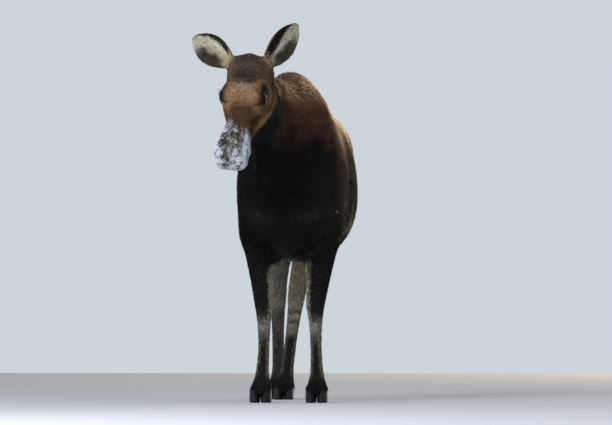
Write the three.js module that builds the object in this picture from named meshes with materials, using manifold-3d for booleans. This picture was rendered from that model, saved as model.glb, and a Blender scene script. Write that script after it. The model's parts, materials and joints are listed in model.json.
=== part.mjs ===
// A cow moose standing square in her winter coat, life size, in millimetres.
// +Z is up, she faces -Y, and her left side is towards +X. The origin is on the floor, under
// the middle of her bounding box.
// Her body is one smooth form, made of chains of oval sections that blend where they meet. The
// form is parted by thin flat cuts into the pieces that a person would name.
import * as THREE from "three";
import { mergeVertices } from "three/addons/utils/BufferGeometryUtils.js";
import Module from "manifold-3d";

const wasm = await Module();
wasm.setup();

// ---- Driving dimensions ---------------------------------------------------------------------
const HUMP = 1641; // floor to the top of the mane over the shoulders
const BACK = 1500; // floor to the low point of the back
const CROUP = 1515; // floor to the top of the hips
const BRISKET = 705; // floor to the breastbone, between the forelegs
const BARREL_HALF = 290; // half the width of the belly
const BROW = 1684; // floor to the top of the forehead, where the head's frame starts
const HEAD_LENGTH = 606; // top of the forehead to the end of the nose
const FACE_PITCH = 56; // degrees that the face slopes below level
const FACE_YAW = 10.8; // degrees that the face is turned to her right
const EAR_LENGTH = 286; // from inside the head to the tip
const EAR_HALF = 78; // half the width of an ear
const EYE_RADIUS = 20;
const HOOF_HEIGHT = 62;
const CUT = 0.4; // width of the cut between two pieces

// ---- Small helpers --------------------------------------------------------------------------
const point = (x, y, z) => new THREE.Vector3(x, y, z);
const lerp = THREE.MathUtils.lerp;
const rad = THREE.MathUtils.degToRad;
const ACROSS = point(1, 0, 0);

// A knot is one oval section of a chain. side is half its width across the body. fore is its
// reach upwards on the trunk, neck and head, and forwards on a leg; aft is its reach the other
// way. bulge is the power of its outline: 2 is an ellipse, less is leaner, more is squarer.
const knot = (at, side, fore, aft = fore, bulge = 2) => ({ at, side, fore, aft, bulge });

// The value at t between b and c of the smooth curve through four values.
const cubic = (a, b, c, d, t) =>
  b + 0.5 * t * (c - a + t * (2 * a - 5 * b + 4 * c - d + t * (3 * (b - c) + d - a)));

// A chain with several knots in place of each span, on a smooth curve through the given ones.
function smooth(knots, steps = 5) {
  const fine = [];
  const at = (i) => knots[Math.min(Math.max(i, 0), knots.length - 1)];
  for (let i = 0; i < knots.length - 1; i++) {
    for (let j = 0; j < steps; j++) {
      const t = j / steps;
      const four = [at(i - 1), at(i), at(i + 1), at(i + 2)];
      const mix = (pick) => cubic(...four.map(pick), t);
      const place = point(mix((k) => k.at.x), mix((k) => k.at.y), mix((k) => k.at.z));
      fine.push(
        knot(place, mix((k) => k.side), mix((k) => k.fore), mix((k) => k.aft), mix((k) => k.bulge)),
      );
    }
  }
  fine.push(knots.at(-1));
  return fine;
}

// The directions of a section: along the chain, across the body, and fore.
function directions(along) {
  const across = ACROSS.clone().addScaledVector(along, -ACROSS.dot(along)).normalize();
  return { along, across, fore: along.clone().cross(across) };
}

// ---- Fields ---------------------------------------------------------------------------------
// A field gives a point's rough distance from a surface in millimetres, below zero inside it.
const blend = (a, b, reach) => {
  const h = Math.max(reach - Math.abs(a - b), 0) / reach;
  return Math.min(a, b) - (h * h * reach) / 4;
};

function chainField(knots, steps = 5) {
  const fine = smooth(knots, steps);
  const links = fine.slice(1).map((b, i) => {
    const a = fine[i];
    const along = b.at.clone().sub(a.at);
    return { a, b, length: along.length(), ...directions(along.normalize()) };
  });
  const d = point(0, 0, 0);
  return (p) => {
    let least = Infinity;
    for (const { a, b, length, along, across, fore } of links) {
      d.copy(p).sub(a.at);
      const run = d.dot(along);
      const t = Math.min(Math.max(run / length, 0), 1);
      const side = lerp(a.side, b.side, t);
      const lift = d.dot(fore);
      const deep = lift > 0 ? lerp(a.fore, b.fore, t) : lerp(a.aft, b.aft, t);
      const bulge = lerp(a.bulge, b.bulge, t);
      const round = Math.pow(
        Math.pow(Math.abs(d.dot(across)) / side, bulge) + Math.pow(Math.abs(lift) / deep, bulge),
        1 / bulge,
      );
      const cap = (run - t * length) / Math.min(side, deep);
      least = Math.min(least, (Math.hypot(round, cap) - 1) * Math.min(side, deep));
    }
    return least;
  };
}

// A single oval mass, such as a muscle or a cheek, given by its middle, reaches and directions.
function massField(middle, reach, axes) {
  const d = point(0, 0, 0);
  return (p) => {
    d.copy(p).sub(middle);
    const r = Math.hypot(...axes.map((a, i) => d.dot(a) / reach[i]));
    return (r - 1) * Math.min(...reach);
  };
}

// How far a point lies on the open side of a plane.
const planeField = (on, normal) => {
  const n = normal.clone().normalize();
  return (p) => (p.x - on.x) * n.x + (p.y - on.y) * n.y + (p.z - on.z) * n.z;
};

// ---- Trunk and neck -------------------------------------------------------------------------
const trunkKnots = [
  knot(point(-22, 1120, 1235), 104, 118, 150),
  knot(point(-20, 1030, 1190), 188, 250, 215),
  knot(point(-10, 870, 1120), 250, CROUP - 1120, 305, 2.3),
  knot(point(0, 650, 1045), 274, BACK - 1045, 322, 2.25),
  knot(point(0, 430, 1035), BARREL_HALF, 478, 338, 2.15),
  knot(point(0, 220, 1050), 264, 520, 350, 2),
  knot(point(0, 60, 1060), 230, HUMP - 1087, 350, 1.9),
  knot(point(0, -60, 1080), 212, HUMP - 1114, 350, 1.9),
  knot(point(0, -150, 1110), 194, 410, 300),
];
const neckKnots = [
  knot(point(0, 40, 1320), 132, 228, 250, 1.9),
  knot(point(-18, -130, 1345), 148, 232, 300, 1.9),
  knot(point(-55, -300, 1400), 130, 200, 250, 1.9),
  knot(point(-98, -450, 1462), 112, 172, 200, 1.9),
  knot(point(-122, -545, 1510), 98, 150, 172),
];
const chestKnots = [
  knot(point(0, -190, 1250), 126, 90, 100),
  knot(point(0, -225, 1090), 146, 105, 120),
  knot(point(0, -150, 900), 120, 95, 120),
];
// The bell, the small flap of skin and hair that hangs from the throat.
const bellKnots = [
  knot(point(-96, -440, 1320), 26, 52),
  knot(point(-100, -462, 1232), 20, 40),
  knot(point(-103, -476, 1168), 12, 20),
];
const tailKnots = [
  knot(point(-22, 1120, 1368), 36, 34),
  knot(point(-22, 1190, 1338), 33, 26),
  knot(point(-23, 1226, 1284), 27, 20),
  knot(point(-23, 1236, 1240), 12, 10),
];

// ---- Legs -----------------------------------------------------------------------------------
// Each leg is a chain from inside the body to the top of its hooves. side is 1 for her left.
function foreleg(side, hoofX) {
  const x = side * 127;
  return [
    knot(point(side * 120, 10, 1330), 60, 110, 130),
    knot(point(side * 163, -60, 1110), 84, 130, 160),
    knot(point(side * 168, 15, 900), 88, 112, 130),
    knot(point(side * 155, 28, 760), 76, 84, 96),
    knot(point(side * 138, 8, 600), 59, 60, 66),
    knot(point(x, -12, 480), 48, 48, 46),
    knot(point(x * 1.01, -6, 400), 35, 37, 40),
    knot(point(x * 1.02, -2, 270), 29, 31, 36),
    knot(point(lerp(x, hoofX, 0.7), 2, 150), 34, 36, 42),
    knot(point(lerp(x, hoofX, 0.8), 0, 112), 41, 42, 47),
    knot(point(hoofX, -26, HOOF_HEIGHT), 45, 48, 44),
  ];
}

function hindleg(side, hock, hoof) {
  // The thigh swings from the hip to wherever the hock stands: lean 0 at the hip, 1 at the hock.
  const thigh = (lean, y, z) =>
    point(lerp(side * 112, hock.x, lean), y + (hock.y - 1088) * lean, z);
  const fetlock = point(lerp(hock.x, hoof.x, 0.85), hoof.y + 36, 118);
  const cannon = hock.clone().lerp(fetlock, 0.5);
  return [
    knot(thigh(0.05, 945, 1300), 104, 170, 170),
    knot(thigh(0.12, 940, 1130), 116, 195, 232),
    knot(thigh(0.25, 935, 965), 104, 180, 226),
    knot(thigh(0.48, 952, 838), 84, 122, 160),
    knot(thigh(0.76, 1000, 705), 60, 70, 88),
    knot(thigh(0.92, 1050, 610), 49, 51, 55),
    knot(hock, 46, 44, 64),
    knot(hock.clone().lerp(cannon, 0.35), 38, 38, 46),
    knot(cannon, 32, 33, 40),
    knot(cannon.clone().lerp(fetlock, 0.8), 33, 36, 42),
    knot(fetlock, 39, 40, 46),
    knot(point(hoof.x, hoof.y, HOOF_HEIGHT), 42, 46, 42),
  ];
}

// Each leg is parted from the trunk by a plane that rises outwards from the middle of the belly
// and by one across the body, behind the elbow or before the thigh.
function foreCuts(side) {
  const slope = rad(30);
  return [
    { on: point(0, 0, BRISKET - 22), normal: point(side * Math.sin(slope), 0, -Math.cos(slope)) },
    { on: point(0, 195, 760), normal: point(0, -1, -0.15) },
  ];
}
// Her hind legs lean to her right, and so does the groin, where their cuts meet.
const GROIN = point(-117, 0, 722);
function hindCuts(side, slope) {
  return [
    { on: GROIN, normal: point(side * Math.sin(slope), 0, -Math.cos(slope)) },
    { on: point(0, 805, 850), normal: point(0, 1, -0.3) },
  ];
}
// Under the groin a steep plane keeps each hind leg on its own side.
const groinCut = (side) => [
  { on: GROIN, normal: point(-side * 0.995, 0, side * 0.104) },
  { on: point(0, 0, 570), normal: point(0, 0, 1) },
];

const LEGS = {
  fore_left: { knots: foreleg(1, 136), cuts: foreCuts(1) },
  fore_right: { knots: foreleg(-1, -142), cuts: foreCuts(-1) },
  hind_left: {
    knots: hindleg(1, point(-82, 1066, 530), point(-138, 985, HOOF_HEIGHT)),
    cuts: hindCuts(1, rad(43)),
    groin: groinCut(1),
  },
  hind_right: {
    knots: hindleg(-1, point(-192, 1186, 530), point(-186, 1135, HOOF_HEIGHT)),
    cuts: hindCuts(-1, rad(68)),
    groin: groinCut(-1),
  },
};

// ---- Head -----------------------------------------------------------------------------------
// The head has a frame of its own. Its origin is the top of the forehead; `down` runs along the
// face to the nose, `left` to her left, and `out` outwards from the face.
const brow = point(-133, -620, BROW);
const down = point(
  -Math.sin(rad(FACE_YAW)) * Math.cos(rad(FACE_PITCH)),
  -Math.cos(rad(FACE_YAW)) * Math.cos(rad(FACE_PITCH)),
  -Math.sin(rad(FACE_PITCH)),
);
const { across: left, fore: out } = directions(down);
const onHead = (u, side, v) =>
  brow.clone().addScaledVector(down, u).addScaledVector(left, side).addScaledVector(out, v);

// A section of the head: its distance from the origin, the face's and the jaw's line there, and
// half its width.
const headKnot = (u, face, jaw, half, bulge = 2) =>
  knot(onHead(u, 0, (face + jaw) / 2), half, (face - jaw) / 2, (face - jaw) / 2, bulge);
const NOSE = HEAD_LENGTH;
const headKnots = [
  headKnot(62, 0, -215, 84),
  headKnot(110, 2, -250, 86),
  headKnot(170, 0, -266, 86, 2.1),
  headKnot(240, -12, -256, 80, 2.2),
  headKnot(310, -25, -236, 69, 2.3),
  headKnot(380, -22, -210, 63, 2.3),
  headKnot(450, -4, -184, 70, 2.4),
  headKnot(NOSE - 96, 2, -158, 79, 2.5),
  headKnot(NOSE - 74, -8, -156, 80, 2.6),
];
const headAxes = [down, left, out];
const poll = massField(onHead(24, 0, -66), [54, 82, 64], headAxes);
const chin = massField(onHead(NOSE - 128, 0, -170), [60, 42, 31], headAxes);
const headMasses = [-1, 1].flatMap((side) => [
  massField(onHead(186, side * 75, -50), [50, 34, 36], headAxes), // brow and lids
  massField(onHead(160, side * 60, -165), [96, 48, 88], headAxes), // cheek
  massField(onHead(NOSE - 66, side * 42, -76), [54, 42, 52], headAxes), // nostril's swelling
  massField(onHead(18, side * 70, -58), [40, 34, 40], headAxes), // root of the ear
]);

const EYE = { along: 200, side: 98, out: -52 };
const eyeAt = (side) => onHead(EYE.along, side * EYE.side, EYE.out);

// ---- The whole form -------------------------------------------------------------------------
const trunkField = chainField(trunkKnots);
const neckField = chainField(neckKnots);
const chestField = chainField(chestKnots);
const headField = chainField(headKnots);
const legFields = Object.values(LEGS).map((leg) => chainField(leg.knots));

function torso(p) {
  return blend(blend(trunkField(p), neckField(p), 150), chestField(p), 90);
}

function head(p) {
  return [poll, chin, ...headMasses].reduce((f, mass) => blend(f, mass(p), 34), headField(p));
}

// The body with some of its legs.
const bodyWith = (legs) => (p) =>
  legs.reduce((f, leg) => blend(f, leg(p), 80), blend(torso(p), head(p), 90));

// ---- From a field to a mesh -----------------------------------------------------------------
const FAR = 900;
const STEP = 3; // shortest step along a ray
// The distance along a ray at which it leaves the field's inside.
function reachOf(field, from, way) {
  const at = (r) => field(from.clone().addScaledVector(way, r));
  let inside = 0;
  let outside = 0;
  while (outside < FAR) {
    const f = at(outside);
    if (f > 0) break;
    inside = outside;
    outside += Math.max(-f * 0.6, STEP);
  }
  for (let i = 0; i < 12; i++) {
    const middle = (inside + outside) / 2;
    if (at(middle) > 0) outside = middle;
    else inside = middle;
  }
  return inside;
}

// A closed mesh round a line of places inside the field: a ring at each place, and at both ends
// a fan of rings that closes on a pole.
function castTube(field, line, sectors, fan, lastFan = fan) {
  const places = [];
  const ring = (at, dirs, tilt) => {
    for (let j = 0; j < sectors; j++) {
      const turn = (2 * Math.PI * j) / sectors;
      const way = dirs.across
        .clone()
        .multiplyScalar(Math.cos(turn))
        .addScaledVector(dirs.fore, Math.sin(turn))
        .multiplyScalar(Math.cos(tilt))
        .addScaledVector(dirs.along, Math.sin(tilt));
      places.push(at.clone().addScaledVector(way, reachOf(field, at, way)));
    }
  };
  const pole = (at, way) => at.clone().addScaledVector(way, reachOf(field, at, way));
  const dirsAt = line.map((at, i) =>
    directions(
      line[Math.min(i + 1, line.length - 1)].clone().sub(line[Math.max(i - 1, 0)]).normalize(),
    ),
  );
  const quarter = Math.PI / 2;
  for (let i = fan; i > 0; i--) ring(line[0], dirsAt[0], (-quarter * i) / (fan + 1));
  line.forEach((at, i) => ring(at, dirsAt[i], 0));
  for (let i = 1; i <= lastFan; i++)
    ring(line.at(-1), dirsAt.at(-1), (quarter * i) / (lastFan + 1));
  const rings = places.length / sectors;
  places.push(pole(line[0], dirsAt[0].along.clone().negate()));
  places.push(pole(line.at(-1), dirsAt.at(-1).along));
  return solidFrom(places, tubeFaces(rings, sectors));
}

// The faces of a tube of rings whose last two places are the poles at its ends.
function tubeFaces(rings, sectors) {
  const faces = [];
  const first = rings * sectors;
  const index = (i, j) => i * sectors + (j % sectors);
  for (let j = 0; j < sectors; j++) {
    faces.push(first, index(0, j + 1), index(0, j));
    faces.push(first + 1, index(rings - 1, j), index(rings - 1, j + 1));
    for (let i = 0; i < rings - 1; i++) {
      faces.push(index(i, j), index(i, j + 1), index(i + 1, j));
      faces.push(index(i, j + 1), index(i + 1, j + 1), index(i + 1, j));
    }
  }
  return faces;
}

// ---- Solids ---------------------------------------------------------------------------------
function solidFrom(places, faces) {
  const vertProperties = new Float32Array(places.flatMap((p) => [p.x, p.y, p.z]));
  const solid = (triVerts) =>
    new wasm.Manifold(
      new wasm.Mesh({ numProp: 3, vertProperties, triVerts: new Uint32Array(triVerts) }),
    );
  const made = solid(faces);
  if (made.volume() > 0) return made;
  return solid(faces.map((_, i) => faces[i - (i % 3) + (2 - (i % 3))]));
}

// A solid without the slivers that a cut leaves beside it.
const mainBody = (solid) =>
  solid.decompose().reduce((most, body) => (body.volume() > most.volume() ? body : most));

function solidOf(geometry) {
  const bare = geometry.clone();
  bare.deleteAttribute("normal");
  bare.deleteAttribute("uv");
  const merged = mergeVertices(bare, 1e-4);
  return new wasm.Manifold(
    new wasm.Mesh({
      numProp: 3,
      vertProperties: merged.attributes.position.array,
      triVerts: new Uint32Array(merged.index.array),
    }),
  );
}

function geometryOf(solid) {
  const mesh = solid.getMesh();
  const place = new Float32Array(mesh.numVert * 3);
  for (let i = 0; i < mesh.numVert; i++)
    place.set(mesh.vertProperties.subarray(i * mesh.numProp, i * mesh.numProp + 3), i * 3);
  const made = new THREE.BufferGeometry();
  made.setAttribute("position", new THREE.BufferAttribute(place, 3));
  made.setIndex(new THREE.BufferAttribute(mesh.triVerts, 1));
  made.computeVertexNormals();
  return made;
}

// A block whose one face lies on a plane, to cut away what is on the plane's open side.
const BLOCK = 3000;
function blockBeyond(on, normal) {
  const n = normal.clone().normalize();
  const block = new THREE.BoxGeometry(BLOCK, BLOCK, BLOCK);
  block.applyQuaternion(new THREE.Quaternion().setFromUnitVectors(point(0, 0, 1), n));
  const middle = on.clone().addScaledVector(n, BLOCK / 2 - CUT / 2);
  block.translate(middle.x, middle.y, middle.z);
  return solidOf(block);
}

// An oval ball, given by its middle, reaches and directions.
function ball(at, reach, axes, sectors) {
  const sphere = new THREE.SphereGeometry(1, sectors, sectors / 2);
  const basis = axes.map((a, i) => a.clone().multiplyScalar(reach[i]));
  return solidOf(sphere.applyMatrix4(new THREE.Matrix4().makeBasis(...basis).setPosition(at)));
}

// ---- The cuts -------------------------------------------------------------------------------
const neckCut = { on: point(0, -330, 1120), normal: point(-0.05, -0.936, 0.351) };
// The head is parted behind the jaw, and from the throat by a plane that runs below the chin.
const headCut = [
  { on: point(-128, -560, 1700), normal: point(-0.19, -0.948, -0.258) },
  { on: point(-105, -465, 1332), normal: point(0, -0.58, 0.815) },
];
const hoofCut = { on: point(0, 0, HOOF_HEIGHT), normal: point(0, 0, -1) };
const legCuts = Object.values(LEGS).map((leg) => leg.cuts);

// A field inside some cuts. Each cut is a list of planes, and takes away what lies on the open
// side of all of them. A tube is cast a margin past its cuts, so that they trim it cleanly.
const MARGIN = 55;
const flipped = (plane) => ({ on: plane.on, normal: plane.normal.clone().negate() });
function within(field, ...cuts) {
  const walls = cuts.map((planes) => planes.map((plane) => planeField(plane.on, plane.normal)));
  return (p) =>
    walls.reduce((f, wall) => Math.max(f, Math.min(...wall.map((w) => w(p))) - MARGIN), field(p));
}
const wedge = (planes) =>
  planes.map((plane) => blockBeyond(plane.on, plane.normal)).reduce((a, b) => a.intersect(b));
const trim = (solid, ...cuts) => cuts.reduce((s, planes) => s.subtract(wedge(planes)), solid);

// A field whose surface lies a little further out, to cut a neighbour clear of it.
const swollen = (field) => (p) => field(p) - CUT;

// Evenly spaced points on a smooth line through some places.
const lineThrough = (places, count) =>
  new THREE.CatmullRomCurve3(places, false, "centripetal").getSpacedPoints(count);

// ---- Pieces of flesh ------------------------------------------------------------------------
const pieces = {};
const wholeBody = bodyWith(legFields);
const spine = lineThrough(
  [
    point(0, 1050, 1180),
    point(0, 860, 1120),
    point(0, 600, 1080),
    point(0, 300, 1080),
    point(0, 50, 1120),
    point(-8, -110, 1200),
    point(-35, -260, 1320),
    point(-75, -385, 1400),
    point(-122, -560, 1500),
  ],
  34,
);
const castTorso = (field) => castTube(within(field, ...legCuts, headCut), spine, 32, 4);
const torsoSolid = castTorso(wholeBody);
const clearOfTorso = castTorso(swollen(wholeBody));
pieces.trunk = trim(torsoSolid, ...legCuts, [neckCut]);
pieces.neck = trim(torsoSolid, headCut, [flipped(neckCut)]);
const chainTube = (knots, steps, sectors, fan) =>
  castTube(chainField(knots, steps), smooth(knots, steps).map((k) => k.at), sectors, fan);
pieces.tail = chainTube(tailKnots, 2, 8, 2).subtract(clearOfTorso);

const headLine = lineThrough(
  [onHead(50, 0, -110), onHead(180, 0, -130), onHead(330, 0, -118), onHead(NOSE - 75, 0, -90)],
  21,
);
const headSide = [...headCut, neckCut].map((plane) => [flipped(plane)]);
const castHead = (field) =>
  trim(castTube(within(field, ...headSide), headLine, 28, 5), ...headSide);
const clearOfHead = castHead(swollen(wholeBody));
const nostril = (side) =>
  ball(onHead(NOSE - 60, side * 72, -66), [36, 30, 18], [
    down.clone().addScaledVector(out, -0.9).normalize(),
    left,
    out.clone().addScaledVector(down, 0.9).normalize(),
  ], 10);
pieces.bell = chainTube(bellKnots, 2, 10, 2).subtract(clearOfTorso).subtract(clearOfHead);
pieces.head = castHead(wholeBody);
for (const [side, name] of [[1, "left"], [-1, "right"]]) {
  const eyeball = (radius) => ball(eyeAt(side), [radius, radius, radius], headAxes, 12);
  pieces.head = pieces.head.subtract(eyeball(EYE_RADIUS + CUT)).subtract(nostril(side));
  pieces["eye_" + name] = eyeball(EYE_RADIUS);
}

for (const [name, leg] of Object.entries(LEGS)) {
  const sides = [...leg.cuts.map((plane) => [flipped(plane)]), [hoofCut]];
  if (leg.groin) sides.push(leg.groin);
  const field = within(bodyWith([chainField(leg.knots)]), ...sides);
  const inside = (at) => leg.cuts.every((plane) => planeField(plane.on, plane.normal)(at) > -MARGIN);
  const places = smooth(leg.knots, 2).map((k) => k.at);
  const line = places.slice(places.findIndex(inside));
  const sectors = name.startsWith("fore") ? 12 : 14;
  pieces["leg_" + name] = trim(castTube(field, line, sectors, 6, 1), ...sides);
  leg.clear = castTube(swollen(field), line, sectors, 6, 1);
}

// ---- Ears -----------------------------------------------------------------------------------
// An ear is a crescent section swept along its axis: half the width, and the depth of the cup, of
// the ear at places along its length, as shares of EAR_HALF.
const EAR_OUTLINE = [
  [0, 0.4, 0.42],
  [0.12, 0.52, 0.5],
  [0.25, 0.76, 0.6],
  [0.4, 0.95, 0.6],
  [0.55, 1, 0.52],
  [0.7, 0.88, 0.4],
  [0.83, 0.65, 0.28],
  [0.93, 0.38, 0.18],
  [1, 0.1, 0.08],
];
function ear(root, axis, opening) {
  const along = axis.clone().normalize();
  const wide = along.clone().cross(opening).normalize();
  const open = wide.clone().cross(along);
  const half = 8;
  const places = [];
  for (const [t, width, cup] of EAR_OUTLINE) {
    const middle = root.clone().addScaledVector(along, t * EAR_LENGTH);
    const arc = (w, d, turn) =>
      middle
        .clone()
        .addScaledVector(wide, w * Math.sin(turn))
        .addScaledVector(open, d * (0.45 - Math.cos(turn)));
    const w = width * EAR_HALF;
    const d = cup * EAR_HALF;
    const wall = Math.min(lerp(13, 7, t), w * 0.6);
    for (let i = 0; i < half; i++) places.push(arc(w, d, Math.PI * (i / (half - 1) - 0.5)));
    for (let i = half - 1; i >= 0; i--) {
      const turn = Math.PI * (i / (half - 1) - 0.5);
      places.push(arc(w - wall * 0.5, d, turn).addScaledVector(open, wall * Math.cos(turn) + 2));
    }
  }
  const around = half * 2;
  const rings = EAR_OUTLINE.length;
  const faces = [];
  for (let i = 0; i < rings - 1; i++) {
    for (let j = 0; j < around; j++) {
      const [a, b] = [i * around + j, i * around + ((j + 1) % around)];
      faces.push(a, b, a + around, b, b + around, a + around);
    }
  }
  for (let j = 0; j < half - 1; j++) {
    const [a, b, c, d] = [j, j + 1, around - 2 - j, around - 1 - j];
    faces.push(a, d, b, b, d, c);
    const top = (rings - 1) * around;
    faces.push(top + a, top + b, top + d, top + b, top + c, top + d);
  }
  return solidFrom(places, faces);
}
const EARS = {
  left: { side: 1, axis: point(0.57, 0.31, 0.78), opening: point(0.62, -0.75, -0.2) },
  right: { side: -1, axis: point(-0.76, 0.36, 0.51), opening: point(-0.22, -0.95, 0.1) },
};
for (const [name, { side, axis, opening }] of Object.entries(EARS)) {
  const root = onHead(25, side * 70, -60);
  pieces["ear_" + name] = ear(root, axis, opening).subtract(clearOfHead).subtract(clearOfTorso);
}

// ---- Hooves ---------------------------------------------------------------------------------
// One toe of a cloven hoof: pointed in front, flat towards its neighbour, flat on the floor.
// inner is -1 or 1, the way along X to the other toe.
function toe(at, inner, size) {
  const sectors = 10;
  const levels = [
    { z: 0, scale: 1, back: 0 },
    { z: 12, scale: 0.98, back: 1 },
    { z: HOOF_HEIGHT - CUT, scale: 0.74, back: 12 },
  ];
  const places = [];
  for (const { z, scale, back } of levels) {
    for (let j = 0; j < sectors; j++) {
      const turn = (2 * Math.PI * j) / sectors;
      const ahead = Math.max(Math.sin(turn), 0);
      const x = Math.cos(turn) * size.half * (1 - 0.3 * ahead ** 2) * scale;
      const flat = size.half * 0.72 - 3;
      const y = Math.sin(turn) * (ahead > 0 ? size.front : size.back) * scale;
      places.push(
        point(
          at.x + inner * (Math.min(x, flat) + 5 * ahead - size.half * 0.72),
          at.y - y + back,
          z,
        ),
      );
    }
  }
  const top = levels.at(-1);
  places.push(point(at.x - inner * size.half * 0.72, at.y, 0));
  places.push(point(at.x - inner * size.half * 0.72, at.y + top.back, top.z));
  return solidFrom(places, tubeFaces(levels.length, sectors));
}

// A dewclaw, a small horn cone that points down behind the pastern.
function dewclaw(at, side) {
  const tip = at.clone().add(point(side * 5, 12, -40));
  const knots = [knot(at, 13, 16, 16), knot(at.clone().lerp(tip, 0.6), 12, 13, 13), knot(tip, 5, 5)];
  return castTube(chainField(knots, 1), [at, tip], 8, 1);
}

for (const [name, leg] of Object.entries(LEGS)) {
  const fore = name.startsWith("fore");
  const size = fore ? { half: 29, front: 82, back: 46 } : { half: 27, front: 76, back: 42 };
  const ankle = leg.knots.at(-1).at;
  const fetlock = leg.knots.at(-2).at;
  for (const [side, which] of [[-1, "right"], [1, "left"]]) {
    const at = point(ankle.x + side * 5, ankle.y, 0);
    pieces[`hoof_${name}_${which}`] = toe(at, -side, size);
    const claw = point(fetlock.x + side * 24, fetlock.y + 46, fetlock.z - 6);
    pieces[`dewclaw_${name}_${which}`] = dewclaw(claw, side).subtract(leg.clear);
  }
}

// ---- Materials and the group ----------------------------------------------------------------
const coat = (color) => ({ color, roughness: 0.9, metalness: 0 });
const FINISHES = [
  [/^eye/, { color: 0x120d0a, roughness: 0.1, metalness: 0 }],
  [/^(hoof|dewclaw)/, { color: 0x23201d, roughness: 0.6, metalness: 0 }],
  [/^head/, coat(0x6e5039)],
  [/^ear/, coat(0x5a4636)],
  [/^leg_hind/, coat(0x5f594c)],
  [/^leg_fore/, coat(0x2a2522)],
  [/^neck/, coat(0x38291f)],
  [/./, coat(0x2b211b)],
];

const group = new THREE.Group();
for (const [name, solid] of Object.entries(pieces)) {
  const [, finish] = FINISHES.find(([pattern]) => pattern.test(name));
  const material = new THREE.MeshStandardMaterial(finish);
  const mesh = new THREE.Mesh(geometryOf(mainBody(solid)), material);
  mesh.name = name;
  group.add(mesh);
}
const box = new THREE.Box3().setFromObject(group);
group.position.set(-(box.min.x + box.max.x) / 2, -(box.min.y + box.max.y) / 2, 0);

export default group;
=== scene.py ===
# %% [markdown]
# # A cow moose in her winter coat
# She stands still, life size, facing -Y with her head turned a little to her right, and her
# left side is towards +X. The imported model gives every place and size: it reaches to the tips
# of her hair. Here a smooth skin goes inside it, and about two hundred thousand small locks of
# hair grow out of that skin to the outline. Everything is in metres.

# %% Load the fixed frame
import json
import math
import bmesh
import bpy
import numpy as np
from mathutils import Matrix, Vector
from mathutils.bvhtree import BVHTree
from mathutils.kdtree import KDTree

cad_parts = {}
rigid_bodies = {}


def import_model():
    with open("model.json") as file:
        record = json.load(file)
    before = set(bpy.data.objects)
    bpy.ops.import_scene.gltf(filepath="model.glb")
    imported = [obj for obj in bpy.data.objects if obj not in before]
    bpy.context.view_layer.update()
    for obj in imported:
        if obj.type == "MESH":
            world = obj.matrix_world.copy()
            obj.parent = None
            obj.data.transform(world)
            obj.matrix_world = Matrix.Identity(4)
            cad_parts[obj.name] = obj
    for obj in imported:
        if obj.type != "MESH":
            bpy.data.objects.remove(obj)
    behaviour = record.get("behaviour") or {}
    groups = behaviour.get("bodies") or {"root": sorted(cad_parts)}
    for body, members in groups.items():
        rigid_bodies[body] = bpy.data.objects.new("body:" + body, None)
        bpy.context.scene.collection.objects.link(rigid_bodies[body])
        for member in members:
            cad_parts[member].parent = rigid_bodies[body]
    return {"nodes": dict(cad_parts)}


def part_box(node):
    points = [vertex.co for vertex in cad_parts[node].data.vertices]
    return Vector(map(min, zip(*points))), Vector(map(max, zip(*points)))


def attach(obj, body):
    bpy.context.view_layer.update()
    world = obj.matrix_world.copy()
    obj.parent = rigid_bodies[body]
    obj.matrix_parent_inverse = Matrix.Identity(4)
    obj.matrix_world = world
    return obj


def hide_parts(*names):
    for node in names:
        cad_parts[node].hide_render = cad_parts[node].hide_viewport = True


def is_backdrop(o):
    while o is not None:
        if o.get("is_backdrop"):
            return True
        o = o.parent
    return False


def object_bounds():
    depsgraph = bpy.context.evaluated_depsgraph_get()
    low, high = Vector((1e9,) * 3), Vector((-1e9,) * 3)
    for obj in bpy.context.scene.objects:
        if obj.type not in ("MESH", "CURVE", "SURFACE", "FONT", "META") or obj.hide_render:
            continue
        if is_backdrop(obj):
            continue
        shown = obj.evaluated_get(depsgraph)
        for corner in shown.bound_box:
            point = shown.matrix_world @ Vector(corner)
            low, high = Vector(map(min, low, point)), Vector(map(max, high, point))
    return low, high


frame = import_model()
nodes = frame["nodes"]
cad_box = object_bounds()
print("nodes:", len(nodes), "CAD box:", [[round(x, 3) for x in corner] for corner in cad_box])

# %% [markdown]
# %% [markdown]
# ## The camera
# It stands far off and low, a little to her left of straight ahead, as a long lens would see
# her from across a meadow. It is placed from her forefeet, so that it stays true if they move.

# %% Camera
CAMERA_TURN, CAMERA_AWAY, CAMERA_HEIGHT = math.radians(6), 25.0, 0.4
VIEW_WIDTH = 3.023  # what the view spans across, at her forefeet
AIM_RIGHT, AIM_BACK, AIM_HEIGHT = 0.0865, 0.0426, 0.939  # where it looks, from her forefeet
SENSOR, FAR_CLIP = 36.0, 200


def middle(name):
    low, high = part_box(name)
    return (low + high) / 2


forefeet = [middle(n) for n in nodes if n.startswith("hoof_fore")]
between_feet = sum(forefeet, Vector()) / len(forefeet)
right = Vector((math.cos(CAMERA_TURN), math.sin(CAMERA_TURN), 0))
ahead = Vector((-math.sin(CAMERA_TURN), math.cos(CAMERA_TURN), 0))
aim = between_feet + right * AIM_RIGHT + ahead * AIM_BACK
aim.z = AIM_HEIGHT
camera = bpy.data.objects.new("camera", bpy.data.cameras.new("camera"))
bpy.context.scene.collection.objects.link(camera)
camera.location = aim - ahead * CAMERA_AWAY
camera.location.z = CAMERA_HEIGHT
camera.rotation_euler = (aim - camera.location).to_track_quat("-Z", "Y").to_euler()
camera.data.sensor_width = SENSOR
camera.data.lens = SENSOR * CAMERA_AWAY / VIEW_WIDTH
camera.data.clip_end = FAR_CLIP
bpy.context.scene.camera = camera
print("camera at", [round(x, 3) for x in camera.location], "lens", round(camera.data.lens, 1))

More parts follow.
